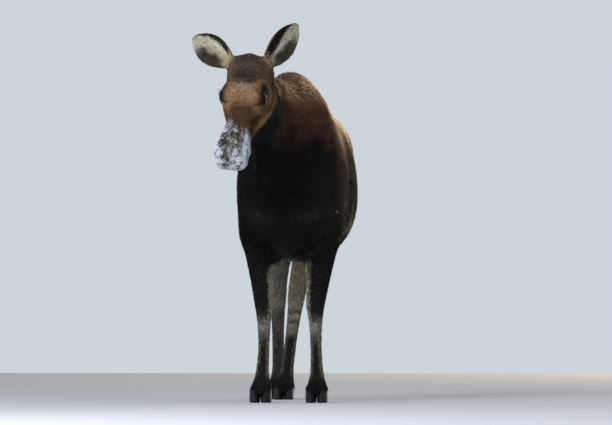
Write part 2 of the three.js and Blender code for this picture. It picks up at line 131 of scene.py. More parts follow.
# %% [markdown]
# ## Tools for shapes in numbers
# Numpy works on all of a mesh's points at once. These few helpers blend values, give smooth
# random lumps, and turn a colour as a painter writes it into the linear one that light uses.


# %% Blending and noise
FALL = 1.6  # how fast a soft spot fades away from its middle
CELL_KEYS, SEED_KEY, MIX_KEY = (73856093, 19349663, 83492791), 961748927, 1274126177
NEAR_BLACK = "#151312"  # her chest and sides, under the other markings


def ramp(low, high, x):
    """Goes smoothly from 0 at low to 1 at high."""
    t = np.clip((x - low) / (high - low), 0, 1)
    return t * t * (3 - 2 * t)


def spot(*ways):
    """1 in the middle of a soft spot; each way is a distance from it, as a share of its reach."""
    return np.exp(-FALL * sum(way**2 for way in ways))


def bump(x, middle_at, reach):
    return spot((x - middle_at) / reach)


def unit(v):
    return v / np.maximum(np.linalg.norm(v, axis=-1, keepdims=True), 1e-12)


def dot(a, b):
    return np.sum(a * b, axis=-1)


def blend(a, b, t):
    return a + (b - a) * (t[:, None] if np.ndim(t) else t)


def noise(p, size, seed=0):
    """Smooth random values from -1 to 1 at the points p, in lumps about size across."""
    q = p / size
    cell = np.floor(q).astype(np.int64)
    f = q - cell
    f = f * f * (3 - 2 * f)
    total = np.zeros(len(p))
    for corner in range(8):
        step = np.array([corner & 1, corner >> 1 & 1, corner >> 2 & 1])
        key = (cell + step) @ np.array(CELL_KEYS) + seed * SEED_KEY
        key = (key ^ (key >> 13)) * MIX_KEY
        value = (key >> 8 & 0xFFFF) / 0x7FFF - 1
        total += value * np.prod(np.where(step, f, 1 - f), axis=1)
    return total


def colour(hex_code):
    """A linear colour from a painter's hex code."""
    s = np.array([int(hex_code[i : i + 2], 16) / 255 for i in (1, 3, 5)])
    return np.where(s <= 0.04045, s / 12.92, ((s + 0.055) / 1.055) ** 2.4)


print("near black, linear:", np.round(colour(NEAR_BLACK), 4))

# %% [markdown]
# ## A mesh from arrays
# A mesh of many thousand small faces is best handed to Blender as whole arrays: the points,
# the triangles, a colour for each point, and a place on the unwrap for each corner.

# %% Meshes and arrays
COLOUR = "coat_colour"
scene = bpy.context.scene


def mesh_of(name, points, triangles, colours=None, places=None):
    mesh = bpy.data.meshes.new(name)
    mesh.vertices.add(len(points))
    mesh.vertices.foreach_set("co", np.asarray(points, np.float32).ravel())
    mesh.loops.add(len(triangles) * 3)
    mesh.loops.foreach_set("vertex_index", np.asarray(triangles, np.int32).ravel())
    mesh.polygons.add(len(triangles))
    mesh.polygons.foreach_set("loop_start", np.arange(0, len(triangles) * 3, 3))
    mesh.update(calc_edges=True)
    mesh.shade_smooth()
    if colours is not None:
        made = mesh.attributes.new(COLOUR, "FLOAT_COLOR", "POINT")
        with_alpha = np.hstack([colours, np.ones((len(colours), 1))])
        made.data.foreach_set("color", with_alpha.astype(np.float32).ravel())
    if places is not None:
        layer = mesh.uv_layers.new(name="OFBake")
        layer.data.foreach_set("uv", np.asarray(places[triangles.ravel()], np.float32).ravel())
    return mesh


def arrays_of(mesh):
    """A mesh's points and its triangles, as arrays."""
    points = np.empty(len(mesh.vertices) * 3, np.float32)
    mesh.vertices.foreach_get("co", points)
    mesh.calc_loop_triangles()
    triangles = np.empty(len(mesh.loop_triangles) * 3, np.int32)
    mesh.loop_triangles.foreach_get("vertices", triangles)
    return points.reshape(-1, 3).astype(float), triangles.reshape(-1, 3)


def linked(name, data):
    made = bpy.data.objects.new(name, data)
    scene.collection.objects.link(made)
    return made


def placed(name, *arrays):
    """A new object in the scene, its mesh made of the arrays."""
    return linked(name, mesh_of(name, *arrays))


def finished(source, name):
    """The mesh of an object with its modifiers applied."""
    bpy.context.view_layer.update()
    evaluated = source.evaluated_get(bpy.context.evaluated_depsgraph_get())
    mesh = bpy.data.meshes.new_from_object(evaluated)
    mesh.name = name
    return mesh


# %% [markdown]
# ## The skin's first shape
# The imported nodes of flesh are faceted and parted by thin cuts. Copies of them are joined and
# remeshed on a grid of small cubes, which closes the cuts and gives one surface with no seam.
# The grid is fine enough for the rim of an ear. Then each point is drawn towards its
# neighbours, which melts the facets away.

# %% Join the flesh
VOXEL, WELD = 0.0045, 1e-5
FLESH = [n for n in sorted(nodes) if not n.startswith(("eye", "hoof", "dewclaw"))]
SOLIDS = FLESH + ["eye_left", "eye_right"]  # the skin runs over the eyes, and is opened later
surfaces = [arrays_of(nodes[n].data) for n in SOLIDS]
firsts = np.cumsum([0] + [len(points) for points, _ in surfaces])[:-1]
cad_points = np.vstack([points for points, _ in surfaces])
cad_triangles = np.vstack([t + first for (_, t), first in zip(surfaces, firsts)])
owners = [FLESH.index(n if n in FLESH else "head") for n in SOLIDS]
cad_owner = np.repeat(owners, [len(t) for _, t in surfaces])
cad_tree = BVHTree.FromPolygons(cad_points.tolist(), cad_triangles.tolist())
flesh = placed("flesh", cad_points, cad_triangles)
welder = bmesh.new()
welder.from_mesh(flesh.data)
bmesh.ops.remove_doubles(welder, verts=welder.verts, dist=WELD)
welder.to_mesh(flesh.data)
welder.free()
remesh = flesh.modifiers.new("cubes", "REMESH")
remesh.mode = "VOXEL"
remesh.voxel_size = VOXEL
skin_points, skin_triangles = arrays_of(finished(flesh, "skin"))
bpy.data.objects.remove(flesh)
print("skin on the grid:", len(skin_points), "points")


# %% Find what lies nearest
def nearest(tree, points):
    """The nearest place on a tree's surface for each point, its normal, and its face."""
    found = [tree.find_nearest(p) for p in points.tolist()]
    place = np.array([f[0] for f in found])
    normal = np.array([f[1] for f in found])
    return place, normal, np.array([f[2] for f in found])


def edges_of(triangles):
    pairs = np.vstack([triangles[:, [0, 1]], triangles[:, [1, 2]], triangles[:, [2, 0]]])
    return np.unique(np.sort(pairs, axis=1), axis=0)


def relaxed(values, edges, share, rounds):
    """Draws each row of values towards the mean of its neighbours by its share, in rounds."""
    count = len(values)
    a, b = edges.T
    degree = np.maximum(np.bincount(a, minlength=count) + np.bincount(b, minlength=count), 1)
    for _ in range(rounds):
        total = np.stack(
            [np.bincount(a, v[b], count) + np.bincount(b, v[a], count) for v in values.T], axis=1
        )
        values = values + np.reshape(share, (-1, 1)) * (total / degree[:, None] - values)
    return values


# %% Melt the facets
SOFTNESS = {"ear": 0.12, "head": 0.5, "leg": 0.42, "tail": 0.3, "bell": 0.3}  # 1 for the rest
MELT_ROUNDS, BORDER_ROUNDS = 36, 8
_, _, face = nearest(cad_tree, skin_points)
softness = np.array([next((s for k, s in SOFTNESS.items() if n.startswith(k)), 1.0) for n in FLESH])
share = softness[cad_owner[face]]
skin_edges = edges_of(skin_triangles)
share = relaxed(share[:, None], skin_edges, np.ones(len(share)), BORDER_ROUNDS)[:, 0]
skin_points = relaxed(skin_points, skin_edges, share, MELT_ROUNDS)
print("melted facets over", len(skin_edges), "edges")

# %% [markdown]
# The body needs far fewer points than the head, which gets most care. Decimate takes points
# away only where a vertex group lets it, so the head and ears keep theirs.

# %% Thin the body's points
SKIN_TRIANGLES = 178_000
is_body = np.array([not n.startswith(("head", "ear")) for n in FLESH])
full = placed("full", skin_points, skin_triangles)
group = full.vertex_groups.new(name="body")
group.add(np.nonzero(is_body[cad_owner[face]])[0].tolist(), 1.0, "REPLACE")
thin = full.modifiers.new("thin", "DECIMATE")
thin.ratio = SKIN_TRIANGLES / len(skin_triangles)
thin.vertex_group = "body"
skin_points, skin_triangles = arrays_of(finished(full, "skin"))
bpy.data.objects.remove(full)
skin_edges = edges_of(skin_triangles)
print("skin:", len(skin_points), "points,", len(skin_triangles), "triangles")


# %% [markdown]
# ## Where on her body a point is
# Hair length, lie and colour all depend on the part of the body. Each point takes the part
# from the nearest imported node, as a weight that fades softly over the borders.

# %% Parts of the body
SPREAD_ROUNDS = 10
_, _, face = nearest(cad_tree, skin_points)
whole = np.ones(len(skin_points))
part = (cad_owner[face][:, None] == np.arange(len(FLESH))).astype(float)
part = dict(zip(FLESH, relaxed(part, skin_edges, whole, SPREAD_ROUNDS).T))


def weight(*starts):
    """How much of each point belongs to the parts whose names start so."""
    return sum(w for name, w in part.items() if name.startswith(starts))


def normals_of(points, triangles):
    a, b, c = (points[triangles[:, i]] for i in range(3))
    flat = np.cross(b - a, c - a)
    total = np.zeros_like(points)
    for i in range(3):
        for k in range(3):
            total[:, k] += np.bincount(triangles[:, i], flat[:, k], len(points))
    return unit(total)


skin_normals = normals_of(skin_points, skin_triangles)
print("share of points on the head:", round(float(weight("head").mean()), 3))

# %% [markdown]
# ## The head's own frame
# The face slopes and turns, so it is measured along itself: `down` runs from the forehead to
# the nose, `left` to her left and `out` away from the face. The two eyes fix where it is.

# %% Head frame
FACE_PITCH, FACE_YAW = math.radians(56), math.radians(10.8)
EYE_DOWN, EYE_OUT = 0.200, -0.052  # the eyes' middle, from the top of the forehead
level = math.cos(FACE_PITCH)
down = -np.array([math.sin(FACE_YAW) * level, math.cos(FACE_YAW) * level, math.sin(FACE_PITCH)])
eyes = {side: np.array(middle("eye_" + side)) for side in ("left", "right")}
left = unit(eyes["left"] - eyes["right"])
out = np.cross(down, left)
brow = (eyes["left"] + eyes["right"]) / 2 - down * EYE_DOWN - out * EYE_OUT


def measured(points, origin, *ways):
    """How far points lie from an origin, along each of the ways."""
    return [(points - origin) @ way for way in ways]


def head_places(points):
    """Points as places on the head: down the face, to her left, and out from it."""
    return measured(points, brow, down, left, out)


def on_head(u, s, v):
    return brow + down * u + left * s + out * v


apart = float(np.linalg.norm(eyes["left"] - eyes["right"]))
print("top of the forehead at", np.round(brow, 3), "eyes apart", round(apart, 3))

# %% [markdown]
# ## The body's own places
# Along the body, places are counted from a point on the floor between her forefeet, which is
# also where her middle plane stands.

# %% Body frame and ears
FEET_TO_STAND = (0.003, 0.0431)  # from the middle of her forefeet: to her left, and back
stand = np.array([between_feet.x + FEET_TO_STAND[0], between_feet.y + FEET_TO_STAND[1], 0])
EARS = {
    "ear_left": {"side": 1, "axis": (0.57, 0.31, 0.78), "opening": (0.62, -0.75, -0.2)},
    "ear_right": {"side": -1, "axis": (-0.76, 0.36, 0.51), "opening": (-0.22, -0.95, 0.1)},
}
EAR_ROOT = (0.025, 0.070, -0.060)  # on the head, mirrored for her right ear
EAR_LENGTH, EAR_HALF = 0.286, 0.078
EAR_AT = (0, 0.12, 0.25, 0.4, 0.55, 0.7, 0.83, 1)
EAR_WIDE = (0.4, 0.52, 0.76, 0.95, 1, 0.88, 0.65, 0.1)
for ear in EARS.values():
    ear["root"] = on_head(EAR_ROOT[0], ear["side"] * EAR_ROOT[1], EAR_ROOT[2])
    ear["along"] = unit(np.array(ear["axis"]))
    ear["wide"] = unit(np.cross(ear["along"], np.array(ear["opening"])))
    ear["open"] = np.cross(ear["wide"], ear["along"])


def body_places(points):
    return (points - stand).T


def ear_places(ear, points):
    """Places on an ear: 0 to 1 along it, and -1 to 1 across it."""
    t, across = measured(points, ear["root"], ear["along"], ear["wide"])
    t = t / EAR_LENGTH
    return t, across / (np.interp(t, EAR_AT, EAR_WIDE) * EAR_HALF)


print("she stands over", np.round(stand, 3))

# %% [markdown]
# ## How deep the coat is
# A moose's winter coat is longest in the mane over her shoulders, deep on the body, and very
# short on the face, the ears and the feet. The skin moves inwards by that depth, so that the
# tips of the hair come back out to the outline.

# %% Depth and length of the hair
x, y, z = body_places(skin_points)
u, s, v = head_places(skin_points)
head, leg, torso = weight("head"), weight("leg"), weight("trunk", "neck")
topness = ramp(0.1, 0.8, skin_normals[:, 2])
mane = torso * topness * ramp(0.50, 0.12, y)
thigh = leg * ramp(0.40, 0.75, z)
crown = head * ramp(0.20, 0.06, u)
cheek = head * ramp(0.05, 0.12, -v) * ramp(0.36, 0.26, u)
muzzle = head * ramp(0.36, 0.46, u)
COAT = {  # how deep the coat is, and how long its locks are
    "trunk": (0.026, 0.062),
    "neck": (0.026, 0.074),
    "head": (0.006, 0.021),
    "tail": (0.009, 0.058),
    "bell": (0.007, 0.055),
    "ear": (0.0022, 0.020),
    "leg": (0.0045, 0.019),
}
depth, length = (sum(row[i] * weight(name) for name, row in COAT.items()) for i in (0, 1))
depth += 0.020 * mane + 0.008 * thigh + 0.003 * crown + 0.002 * cheek - 0.0035 * muzzle
length += 0.060 * mane + 0.022 * thigh + 0.005 * crown + 0.010 * cheek - 0.010 * muzzle


def shorten(near, deepest, longest):
    """Keeps the coat from being deeper or its locks longer than that, where near is 1."""
    global depth, length
    depth = depth * (1 - near) + near * np.minimum(depth, deepest)
    length = length * (1 - near) + near * np.minimum(length, longest)


by_ear = np.zeros(len(skin_points))
for ear in EARS.values():
    far = np.linalg.norm(skin_points - ear["root"] - 0.02 * ear["along"], axis=1)
    by_ear = np.maximum(by_ear, ramp(0.085, 0.050, far))
shorten(by_ear, 0.0045, 0.022)
from_poll = np.linalg.norm(skin_points - on_head(-0.01, 0, -0.10), axis=1)
shorten(ramp(0.16, 0.07, from_poll), 0.008, 0.026)
print("coat from", round(depth.min() * 1000, 1), "to", round(depth.max() * 1000, 1), "mm deep")


# %% Move the skin in
def inset(points, normals, amount):
    """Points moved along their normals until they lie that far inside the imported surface."""
    place, _, _ = nearest(cad_tree, points)
    outside = dot(points - place, normals)
    move = relaxed((-amount - outside)[:, None], skin_edges, whole, 5)
    return points + normals * move


SMOOTH_ROUNDS, MANE_ROUNDS = 6, 70
skin_points = inset(skin_points, skin_normals, depth)
skin_points = relaxed(skin_points, skin_edges, 0.5 * (torso + thigh), SMOOTH_ROUNDS)
skin_points = relaxed(skin_points, skin_edges, 0.5 * mane, MANE_ROUNDS)
# (back, up), (reach in both), push outwards; all in metres, on both sides alike
BODY_FORMS = [
    ((0.10, 1.22), (0.17, 0.26), 0.014),  # shoulder blade
    ((0.35, 1.10), (0.10, 0.32), -0.020),  # hollow behind the shoulder
    ((0.10, 0.84), (0.13, 0.12), 0.012),  # elbow
    ((0.86, 1.08), (0.10, 0.22), -0.016),  # hollow before the thigh
    ((1.06, 1.00), (0.15, 0.24), 0.012),  # thigh
    ((0.93, 1.42), (0.07, 0.06), 0.010),  # hip bone
    ((-0.30, 1.30), (0.10, 0.16), -0.010),  # groove of the neck
]
_, back_at, up_at = body_places(skin_points)
sideways = np.abs(skin_normals[:, 0]) * (torso + thigh)
for (form_y, form_z), (reach_y, reach_z), push in BODY_FORMS:
    near = spot((back_at - form_y) / reach_y, (up_at - form_z) / reach_z)
    skin_points = skin_points + skin_normals * (push * near * sideways)[:, None]
# Hair hangs over each hoof: the skin ends lower there, and swells a little above it.
FOOT_DROP, PASTERN_SWELL, PASTERN_HAIR = 0.014, 0.006, 0.016
skin_points[:, 2] -= FOOT_DROP * (leg * ramp(0.085, 0.072, skin_points[:, 2]))
pastern = leg * ramp(0.13, 0.075, skin_points[:, 2])
skin_points[:, :2] += PASTERN_SWELL * pastern[:, None] * skin_normals[:, :2]
length = length + PASTERN_HAIR * pastern
skin_normals = normals_of(skin_points, skin_triangles)
print("skin from", np.round(skin_points.min(0), 3), "to", np.round(skin_points.max(0), 3))

# %% [markdown]
# ## Carving the face
# A moose's face has a hollow for each eye under a bony ridge, a slit that runs from the inner
# corner of the eye towards the nose, comma-shaped nostrils on the sides of the muzzle, and a
# long upper lip that hangs over the lower one. Each is a smooth push on the skin, given by its
# middle and reach in millimetres on the head.

# %% Push and carve
MM = 0.001
# (down the face, to the side, out), (reach in the same three), push outwards; all in mm
FACE_FORMS = [
    ((200, 92, -54), (40, 30, 30), -5.0),  # socket
    ((158, 74, -26), (34, 20, 22), 5.0),  # ridge over the eye
    ((250, 82, -98), (46, 22, 20), 4.0),  # cheekbone
    ((262, 68, -48), (34, 12, 9), -5.0),  # tear slit
    ((176, 0, 0), (52, 40, 40), -4.0),  # hollow between the eyes
    ((345, 0, -20), (70, 34, 30), 2.5),  # bridge of the nose
    ((330, 58, -92), (60, 24, 34), -3.5),  # hollow before the cheek
    ((522, 88, -84), (46, 46, 60), -11.0),  # flank of the upper lip
    ((415, 66, -80), (40, 34, 50), 6.0),  # side of the nose
    ((586, 58, -92), (26, 36, 40), 5.0),  # square end of the lip
    ((596, 0, -66), (36, 9, 60), -2.5),  # groove between the nostrils
    ((120, 72, -150), (26, 20, 60), -3.0),  # behind the jaw
    ((458, 56, -162), (44, 32, 30), 14.0),  # lower lip at the corner of the mouth
    ((4, 0, -34), (46, 40, 46), 13.0),  # crown
    ((20, 66, -60), (40, 24, 50), -5.0),  # dip between crown and ear
]
# All in mm: the nostril's middle down the face and out, and how deep or high each line goes.
NOSTRIL, NOSTRIL_LEAN = (548, -64), (0.74, 0.67)
HOLE_DEEP, RIM_HIGH, LIP_DEEP, FOLD_HIGH = 20, 3.2, 7.5, 0.8


def carve(points, normals):
    """The skin with the forms of the face pushed into it, and how dark each carved line is painted:
    dark bare skin, with painted shade in its hollow.
    """
    u, s, v = (c / MM for c in head_places(points))
    on = head + weight("neck")
    push = np.zeros(len(points))
    for (cu, cs, cv), (ru, rs, rv), height in FACE_FORMS:
        push += height * spot((u - cu) / ru, (np.abs(s) - cs) / rs, (v - cv) / rv)
    # Nostril: a comma, round in front and drawn out to a tail behind.
    fore, up = u - NOSTRIL[0], v - NOSTRIL[1]
    long = fore * NOSTRIL_LEAN[0] - up * NOSTRIL_LEAN[1]
    cross = fore * NOSTRIL_LEAN[1] + up * NOSTRIL_LEAN[0]
    comma = np.hypot(long / 27, (cross + 0.012 * long**2 - 3) / (11 - 0.12 * long))
    side = ramp(30, 55, np.abs(s))
    hole = ramp(1.25, 0.55, comma) * side
    rim = bump(comma, 1.5, 0.45) * side
    # Mouth: a line along the lower edge of the muzzle, round its front and back to the corner.
    lip = bump(v, -147 + 0.00035 * (u - 560) ** 2, 5.5) * ramp(408, 440, u) * ramp(604, 584, u)
    # Wrinkles behind the nostril.
    fold = np.sin((u + 0.5 * v) / 4.3) * bump(u, 500, 34) * bump(v, -52, 36)
    fold = fold * ramp(25, 50, np.abs(s))
    push += -HOLE_DEEP * hole + RIM_HIGH * rim - LIP_DEEP * lip + FOLD_HIGH * fold
    inwards = blend(normals, np.sign(s)[:, None] * left, hole)
    moved = points + inwards * (push * on * MM)[:, None]
    return moved, np.clip(hole * 1.3 + lip, 0, 1) * on


skin_points, carved = carve(skin_points, skin_normals)
skin_normals = normals_of(skin_points, skin_triangles)
print("carved deeper than 5 mm:", int((carved > 0.5).sum()), "points")

# %% [markdown]
# ## Eyes
# The eye of a moose is a dark brown ball almost 40 mm across with a long level pupil, deep
# under its lids. The skin is levelled round the ball and pushed back behind the opening of the
# lids, which come later.

# %% Directions of each eye
EYE_FORWARD, EYE_UP = 0.42, 0.10  # how far the eye looks out from the face, and up along it
SLIT_LEAN = 0.10  # how far the slit leans out from the face
SLIT_HALF, LID_UP, LID_LOW = 0.0148, 0.0095, 0.0072  # the opening of the lids
BALL_RADIUS, BALL_SINK = 0.0185, 0.003  # the ball, and how much deeper it sits than packed
# How far the skin stands out from the ball's middle, at distances from the eye's own line.
ORBIT_AT, ORBIT = (0, 0.022, 0.034, 0.050, 0.070), (0.0095, 0.0095, 0.003, -0.016, -0.060)
# How much further it stands out above the eye, how softly that starts, and room for the lids.
ORBIT_TILT, ORBIT_SOFT, LID_ROOM = 0.1, 0.003, 0.005


def eye_axes(side):
    """Out of the eye, along its slit towards the nose, and up."""
    sign = 1 if side == "left" else -1
    away = unit(left * sign + out * EYE_FORWARD - down * EYE_UP)
    slit = unit(down - away * (down @ away) + out * SLIT_LEAN)
    slit = unit(slit - away * (slit @ away))
    lift = np.cross(away, slit) * sign
    return away, slit, lift * np.sign(lift @ out)


def from_eye(side, along, high, deep):
    """Places counted from the middle of an eye: along its slit, up, and out of it."""
    away, slit, lift = eye_axes(side)
    return eyes[side] + np.outer(along, slit) + np.outer(high, lift) + np.outer(deep, away)


def almond(turn, grow=0.0):
    """The lids' opening: places along the slit and up, round the eye."""
    along = np.cos(turn) * (SLIT_HALF + grow * 1.15)
    high = np.where(np.sin(turn) > 0, LID_UP, LID_LOW) + grow
    return along, np.sin(turn) * np.abs(np.sin(turn)) ** 0.15 * high


for side in eyes:
    eyes[side] = eyes[side] - eye_axes(side)[0] * BALL_SINK
for side, centre in eyes.items():
    away, slit, lift = eye_axes(side)
    d = skin_points - centre
    deep = d @ away
    reach = np.linalg.norm(d - np.outer(deep, away), axis=1)
    wanted = np.interp(reach, ORBIT_AT, ORBIT) + ORBIT_TILT * (d @ lift)
    near = ramp(0.07, 0.05, reach) * (deep > -0.06)
    lift_by = np.logaddexp(0, (wanted - deep) / ORBIT_SOFT) * ORBIT_SOFT
    level = ramp(0.030, 0.020, reach) * (wanted - deep)
    skin_points = skin_points + away * (np.where(level < 0, level, lift_by) * near)[:, None]
skin_points = relaxed(skin_points, skin_edges, 0.5 * head, 2)
face_tree = BVHTree.FromPolygons(skin_points.tolist(), skin_triangles.tolist())
for side, centre in eyes.items():
    away, slit, lift = eye_axes(side)
    along, high, deep = measured(skin_points, centre, slit, lift, away)
    wide = np.hypot(along / (SLIT_HALF + LID_ROOM), high / (LID_UP + LID_ROOM))
    near = (deep > -0.02) & (np.linalg.norm(skin_points - centre, axis=1) < 0.06)
    back = ramp(1.2, 0.85, wide) * near
    skin_points = skin_points - away * (back * np.maximum(deep - 0.001, 0))[:, None]
skin_normals = normals_of(skin_points, skin_triangles)
skin_tree = BVHTree.FromPolygons(skin_points.tolist(), skin_triangles.tolist())
print("eyes look", np.round(eye_axes("left")[0], 2), np.round(eye_axes("right")[0], 2))

# %% [markdown]
# ## How the hair lies
# Hair on a deer points away from the nose: up the face, back along the neck, back and down
# over the ribs, and straight down the chest, the legs, the tail and the bell. The directions
# are laid flat on the skin and softened, so that one region combs into the next.

# %% Lie of the hair
x, y, z = body_places(skin_points)
u, s, v = head_places(skin_points)
LIE_ROUNDS = 8
front = ramp(0.18, -0.06, y)
outwards = np.clip(x / 0.15, -1, 1)[:, None] * np.array([1.0, 0, 0])
over_back = np.array([0, 1.0, -0.25]) + 0.12 * outwards
over_side = np.array([0, 0.72, -0.68])
down_chest = np.array([0, 0.12, -1.0]) + 0.08 * outwards
top = ramp(0.45, 0.9, skin_normals[:, 2])
flow = blend(over_side, over_back, top)
flow = blend(flow, down_chest, front * (1 - top))
lie = flow * torso[:, None]
lie += head[:, None] * (-down + 0.15 * out)
lie += weight("leg", "tail", "bell")[:, None] * np.array([0, 0.10, -1.0])
low_end = leg * ramp(0.115, 0.080, skin_points[:, 2])
hanging = low_end + weight("bell") + weight("tail") * ramp(1.27, 1.20, z)
hanging = np.clip(hanging, 0, 1)
for name, ear in EARS.items():
    lie += weight(name)[:, None] * ear["along"]


def laid(directions, normals):
    return unit(directions - normals * dot(directions, normals)[:, None])


lie = laid(relaxed(laid(lie, skin_normals), skin_edges, whole, LIE_ROUNDS), skin_normals)
print("mean lie on the body:", np.round(lie[torso > 0.9].mean(0), 2))

# %% [markdown]
# ## Markings
# She is near black on the chest and sides, brown over the mane and back, grey-brown on the
# crown and tan on the face. The insides of the legs and ears are pale. Each marking is painted
# over the ones before it, with an edge broken by noise, on every point of the skin.

# %% Painting
skin_colours = np.tile(colour(NEAR_BLACK), (len(skin_points), 1))


def paint(hex_code, amount, where=None):
    """Lays a colour over the markings by an amount from 0 to 1 at each point."""
    global skin_colours
    amount = np.clip(amount, 0, 1) * (1 if where is None else where)
    skin_colours = blend(skin_colours, colour(hex_code), amount)


ragged = noise(skin_points, 0.05, 3) + 0.6 * noise(skin_points, 0.021, 4)
fine = noise(skin_points, 0.012, 5) + 0.6 * noise(skin_points, 0.006, 6)
nx, ny, nz = skin_normals.T

# %% Body
body = weight("trunk", "neck", "bell", "tail")
rusty = ramp(1.22, 1.40, z - 0.22 * np.clip(-0.06 - y, 0, 1) + 0.06 * ragged)
rusty = rusty * ramp(-0.56, -0.36, y)
paint("#64452f", rusty, body)
paint("#85583c", rusty * ramp(1.45, 1.58, z + 0.05 * ragged) * 0.7, body)
wave = np.sin(z / 0.011 + 2.2 * ragged + 3 * y)
paint("#33231a", rusty * ramp(0.0, 0.9, wave) * 0.4, body)
chest = ramp(0.25, 0.0, y) * ramp(1.35, 1.2, z)
# Paler patches on the chest: partly her own streaks, partly painted highlights.
paint("#2b2724", chest * ramp(0.4, 1.3, ragged + 0.4 * fine) * 0.6, body)
paint("#2c231d", chest * ramp(0.06, 0.24, x + 0.04 * ragged) * 0.8, body)
# A painted highlight: a paler line along the lower edge of each chest muscle.
fold = bump(z - 0.25 * np.abs(x), 0.93, 0.035) * bump(np.abs(x), 0.11, 0.09)
paint("#3a322c", chest * fold * 0.8, body)
behind = ramp(0.40, 0.70, y) * ramp(0.95, 1.25, z + 0.06 * ragged)
paint("#46342a", behind, body)
paint("#66573f", behind * bump(z + 0.03 * ragged, 1.10, 0.16) * 0.75, body)
paint("#2a2420", ramp(0.3, 0.9, y) * 0.6, body * (1 - behind))
paint("#4a4038", ramp(0.1, -0.8, nz) * ramp(0.25, 0.6, y) * 0.5, body)
paint("#4a3a2c", ramp(0.55, 0.9, ny) * ramp(0.7, 1.0, y), weight("trunk"))

# %% Legs
fore, hind = weight("leg_fore"), weight("leg_hind")
leg_left = weight("leg_fore_left", "leg_hind_left")
leg_right = weight("leg_fore_right", "leg_hind_right")
inner = ramp(0.42, 0.92, nx * (leg_right - leg_left) + 0.06 * ragged)
paint("#1d1b1c", whole, fore + hind)
paint("#9f9a86", inner * ramp(0.30, 0.42, z) * ramp(0.92, 0.72, z + 0.05 * ragged), fore)
paint("#8b8a7a", bump(z + 0.008 * ragged, 0.375, 0.060) * 0.95, fore)
edge_of_leg = ramp(0.35, 0.85, np.abs(nx) + 0.1 * ragged)
edge_of_leg = edge_of_leg * ramp(0.36, 0.30, z) * ramp(0.10, 0.16, z)
paint("#7d7362", edge_of_leg * 0.8, fore)
pale = ramp(0.31, 0.40, z + 0.02 * ragged) * ramp(0.98, 0.80, z + 0.04 * ragged)
facing = ramp(0.5, -0.3, ny - 0.6 * inner)
paint("#8f8976", pale * facing, hind)
paint("#56524a", pale * facing * ramp(0.2, 1.2, ragged + 0.5 * fine) * 0.6, hind)
paint("#ad9870", pale * facing * ramp(0.45, 0.7, z) * 0.5, weight("leg_hind_left"))
paint("#3a3c3c", facing * ramp(0.52, 0.44, z) * 0.75, weight("leg_hind_right"))
for mark_at in (0.462, 0.408):
    paint("#24221f", bump(z + 0.2 * (x + 0.11), mark_at, 0.011) * facing, weight("leg_hind_left"))
paint("#6d6557", edge_of_leg * 0.6, hind)
paint("#16161a", ramp(0.14, 0.09, z), fore + hind)

# %% Face
aside = np.abs(s)
broken = u + 0.012 * ragged
under = ramp(-0.165, -0.192, v + 0.006 * ragged) * ramp(0.46, 0.40, u)
throat = under * ramp(0.14, 0.24, u + 0.5 * (v + 0.25)) * ramp(-0.42, -0.34, v)
side_of_face = ramp(-0.07, -0.11, v) * ramp(0.52, 0.3, u)
FACE_PAINT = [
    ("#957050", whole),
    ("#b39270", bump(broken, 0.215, 0.060) * ramp(0.095, 0.04, aside) * 0.8),
    ("#a0968a", bump(broken, 0.185, 0.034) * ramp(0.07, 0.01, aside) * 0.85),
    ("#5a4d3f", ramp(0.195, 0.145, broken + 0.15 * aside)),
    ("#6e5742", ramp(0.15, 0.08, u) * ramp(0.03, 0.07, aside) * 0.6),
    ("#3b322b", ramp(0.2, 1.2, ragged + 0.4 * fine) * ramp(0.16, 0.12, u) * 0.6),
    ("#39302b", bump(broken, 0.130, 0.040) * ramp(0.085, 0.02, aside) * 0.8),
    ("#4f3a2c", ramp(0.262, 0.31, broken) * ramp(0.080, 0.035, aside) * 0.9),
    ("#6d4a2e", ramp(0.27, 0.36, broken) * ramp(0.03, 0.07, aside) * 0.7),
    ("#3a2a20", side_of_face * ramp(-0.35, 0.5, fine * 0.5 + 0.2)),
    ("#ab8355", bump(v, -0.155, 0.026) * bump(u, 0.285, 0.085)),
    ("#33251c", bump(v, -0.105, 0.028) * bump(u, 0.33, 0.05) * 0.8),
    ("#1b1613", under),
]
for hex_code, amount in FACE_PAINT:
    paint(hex_code, amount, head)
paint("#181413", throat, weight("head", "neck"))
for side, centre in eyes.items():
    along, off, across = measured(skin_points, centre, down, out, left)
    reach = np.sqrt((0.8 * along) ** 2 + (1.25 * off) ** 2 + across**2)
    # A painted highlight on the ridge over each eye.
    paint("#a87a4e", bump(reach, 0.056, 0.020) * ramp(0.02, -0.04, along) * 0.5, head)
    paint("#17110e", ramp(0.060, 0.032, reach + 0.006 * ragged), head)
    paint("#b98c5c", bump(along, 0.005, 0.050) * bump(off, -0.062, 0.011) * (reach < 0.12) * 0.8, head)
    tear = bump(along, 0.050, 0.032) * bump(off, 0.0, 0.012) * ramp(0.045, 0.065, aside)
    paint("#241a15", tear * (reach < 0.12) * 0.9, head)
    paint("#241b17", bump(along, 0.01, 0.05) * bump(off, -0.088, 0.013) * (reach < 0.15) * 0.8, head)
paint("#4c423a", ramp(0.42, 0.50, u), head)
paint("#2a2320", ramp(0.4, 0.5, u) * ramp(-0.125, -0.140, v), head)
# The nostrils and the line of the mouth: dark bare skin, with painted shade that is deepest where the
# carving is deepest.
paint("#0b0908", carved, head)

# %% Where frost clings
FROST_HEIGHT = 0.0022
# How far down the face the frost starts, at places across it.
START_AT, START = (-0.08, -0.03, 0.02, 0.07, 0.1), (0.335, 0.37, 0.44, 0.42, 0.40)
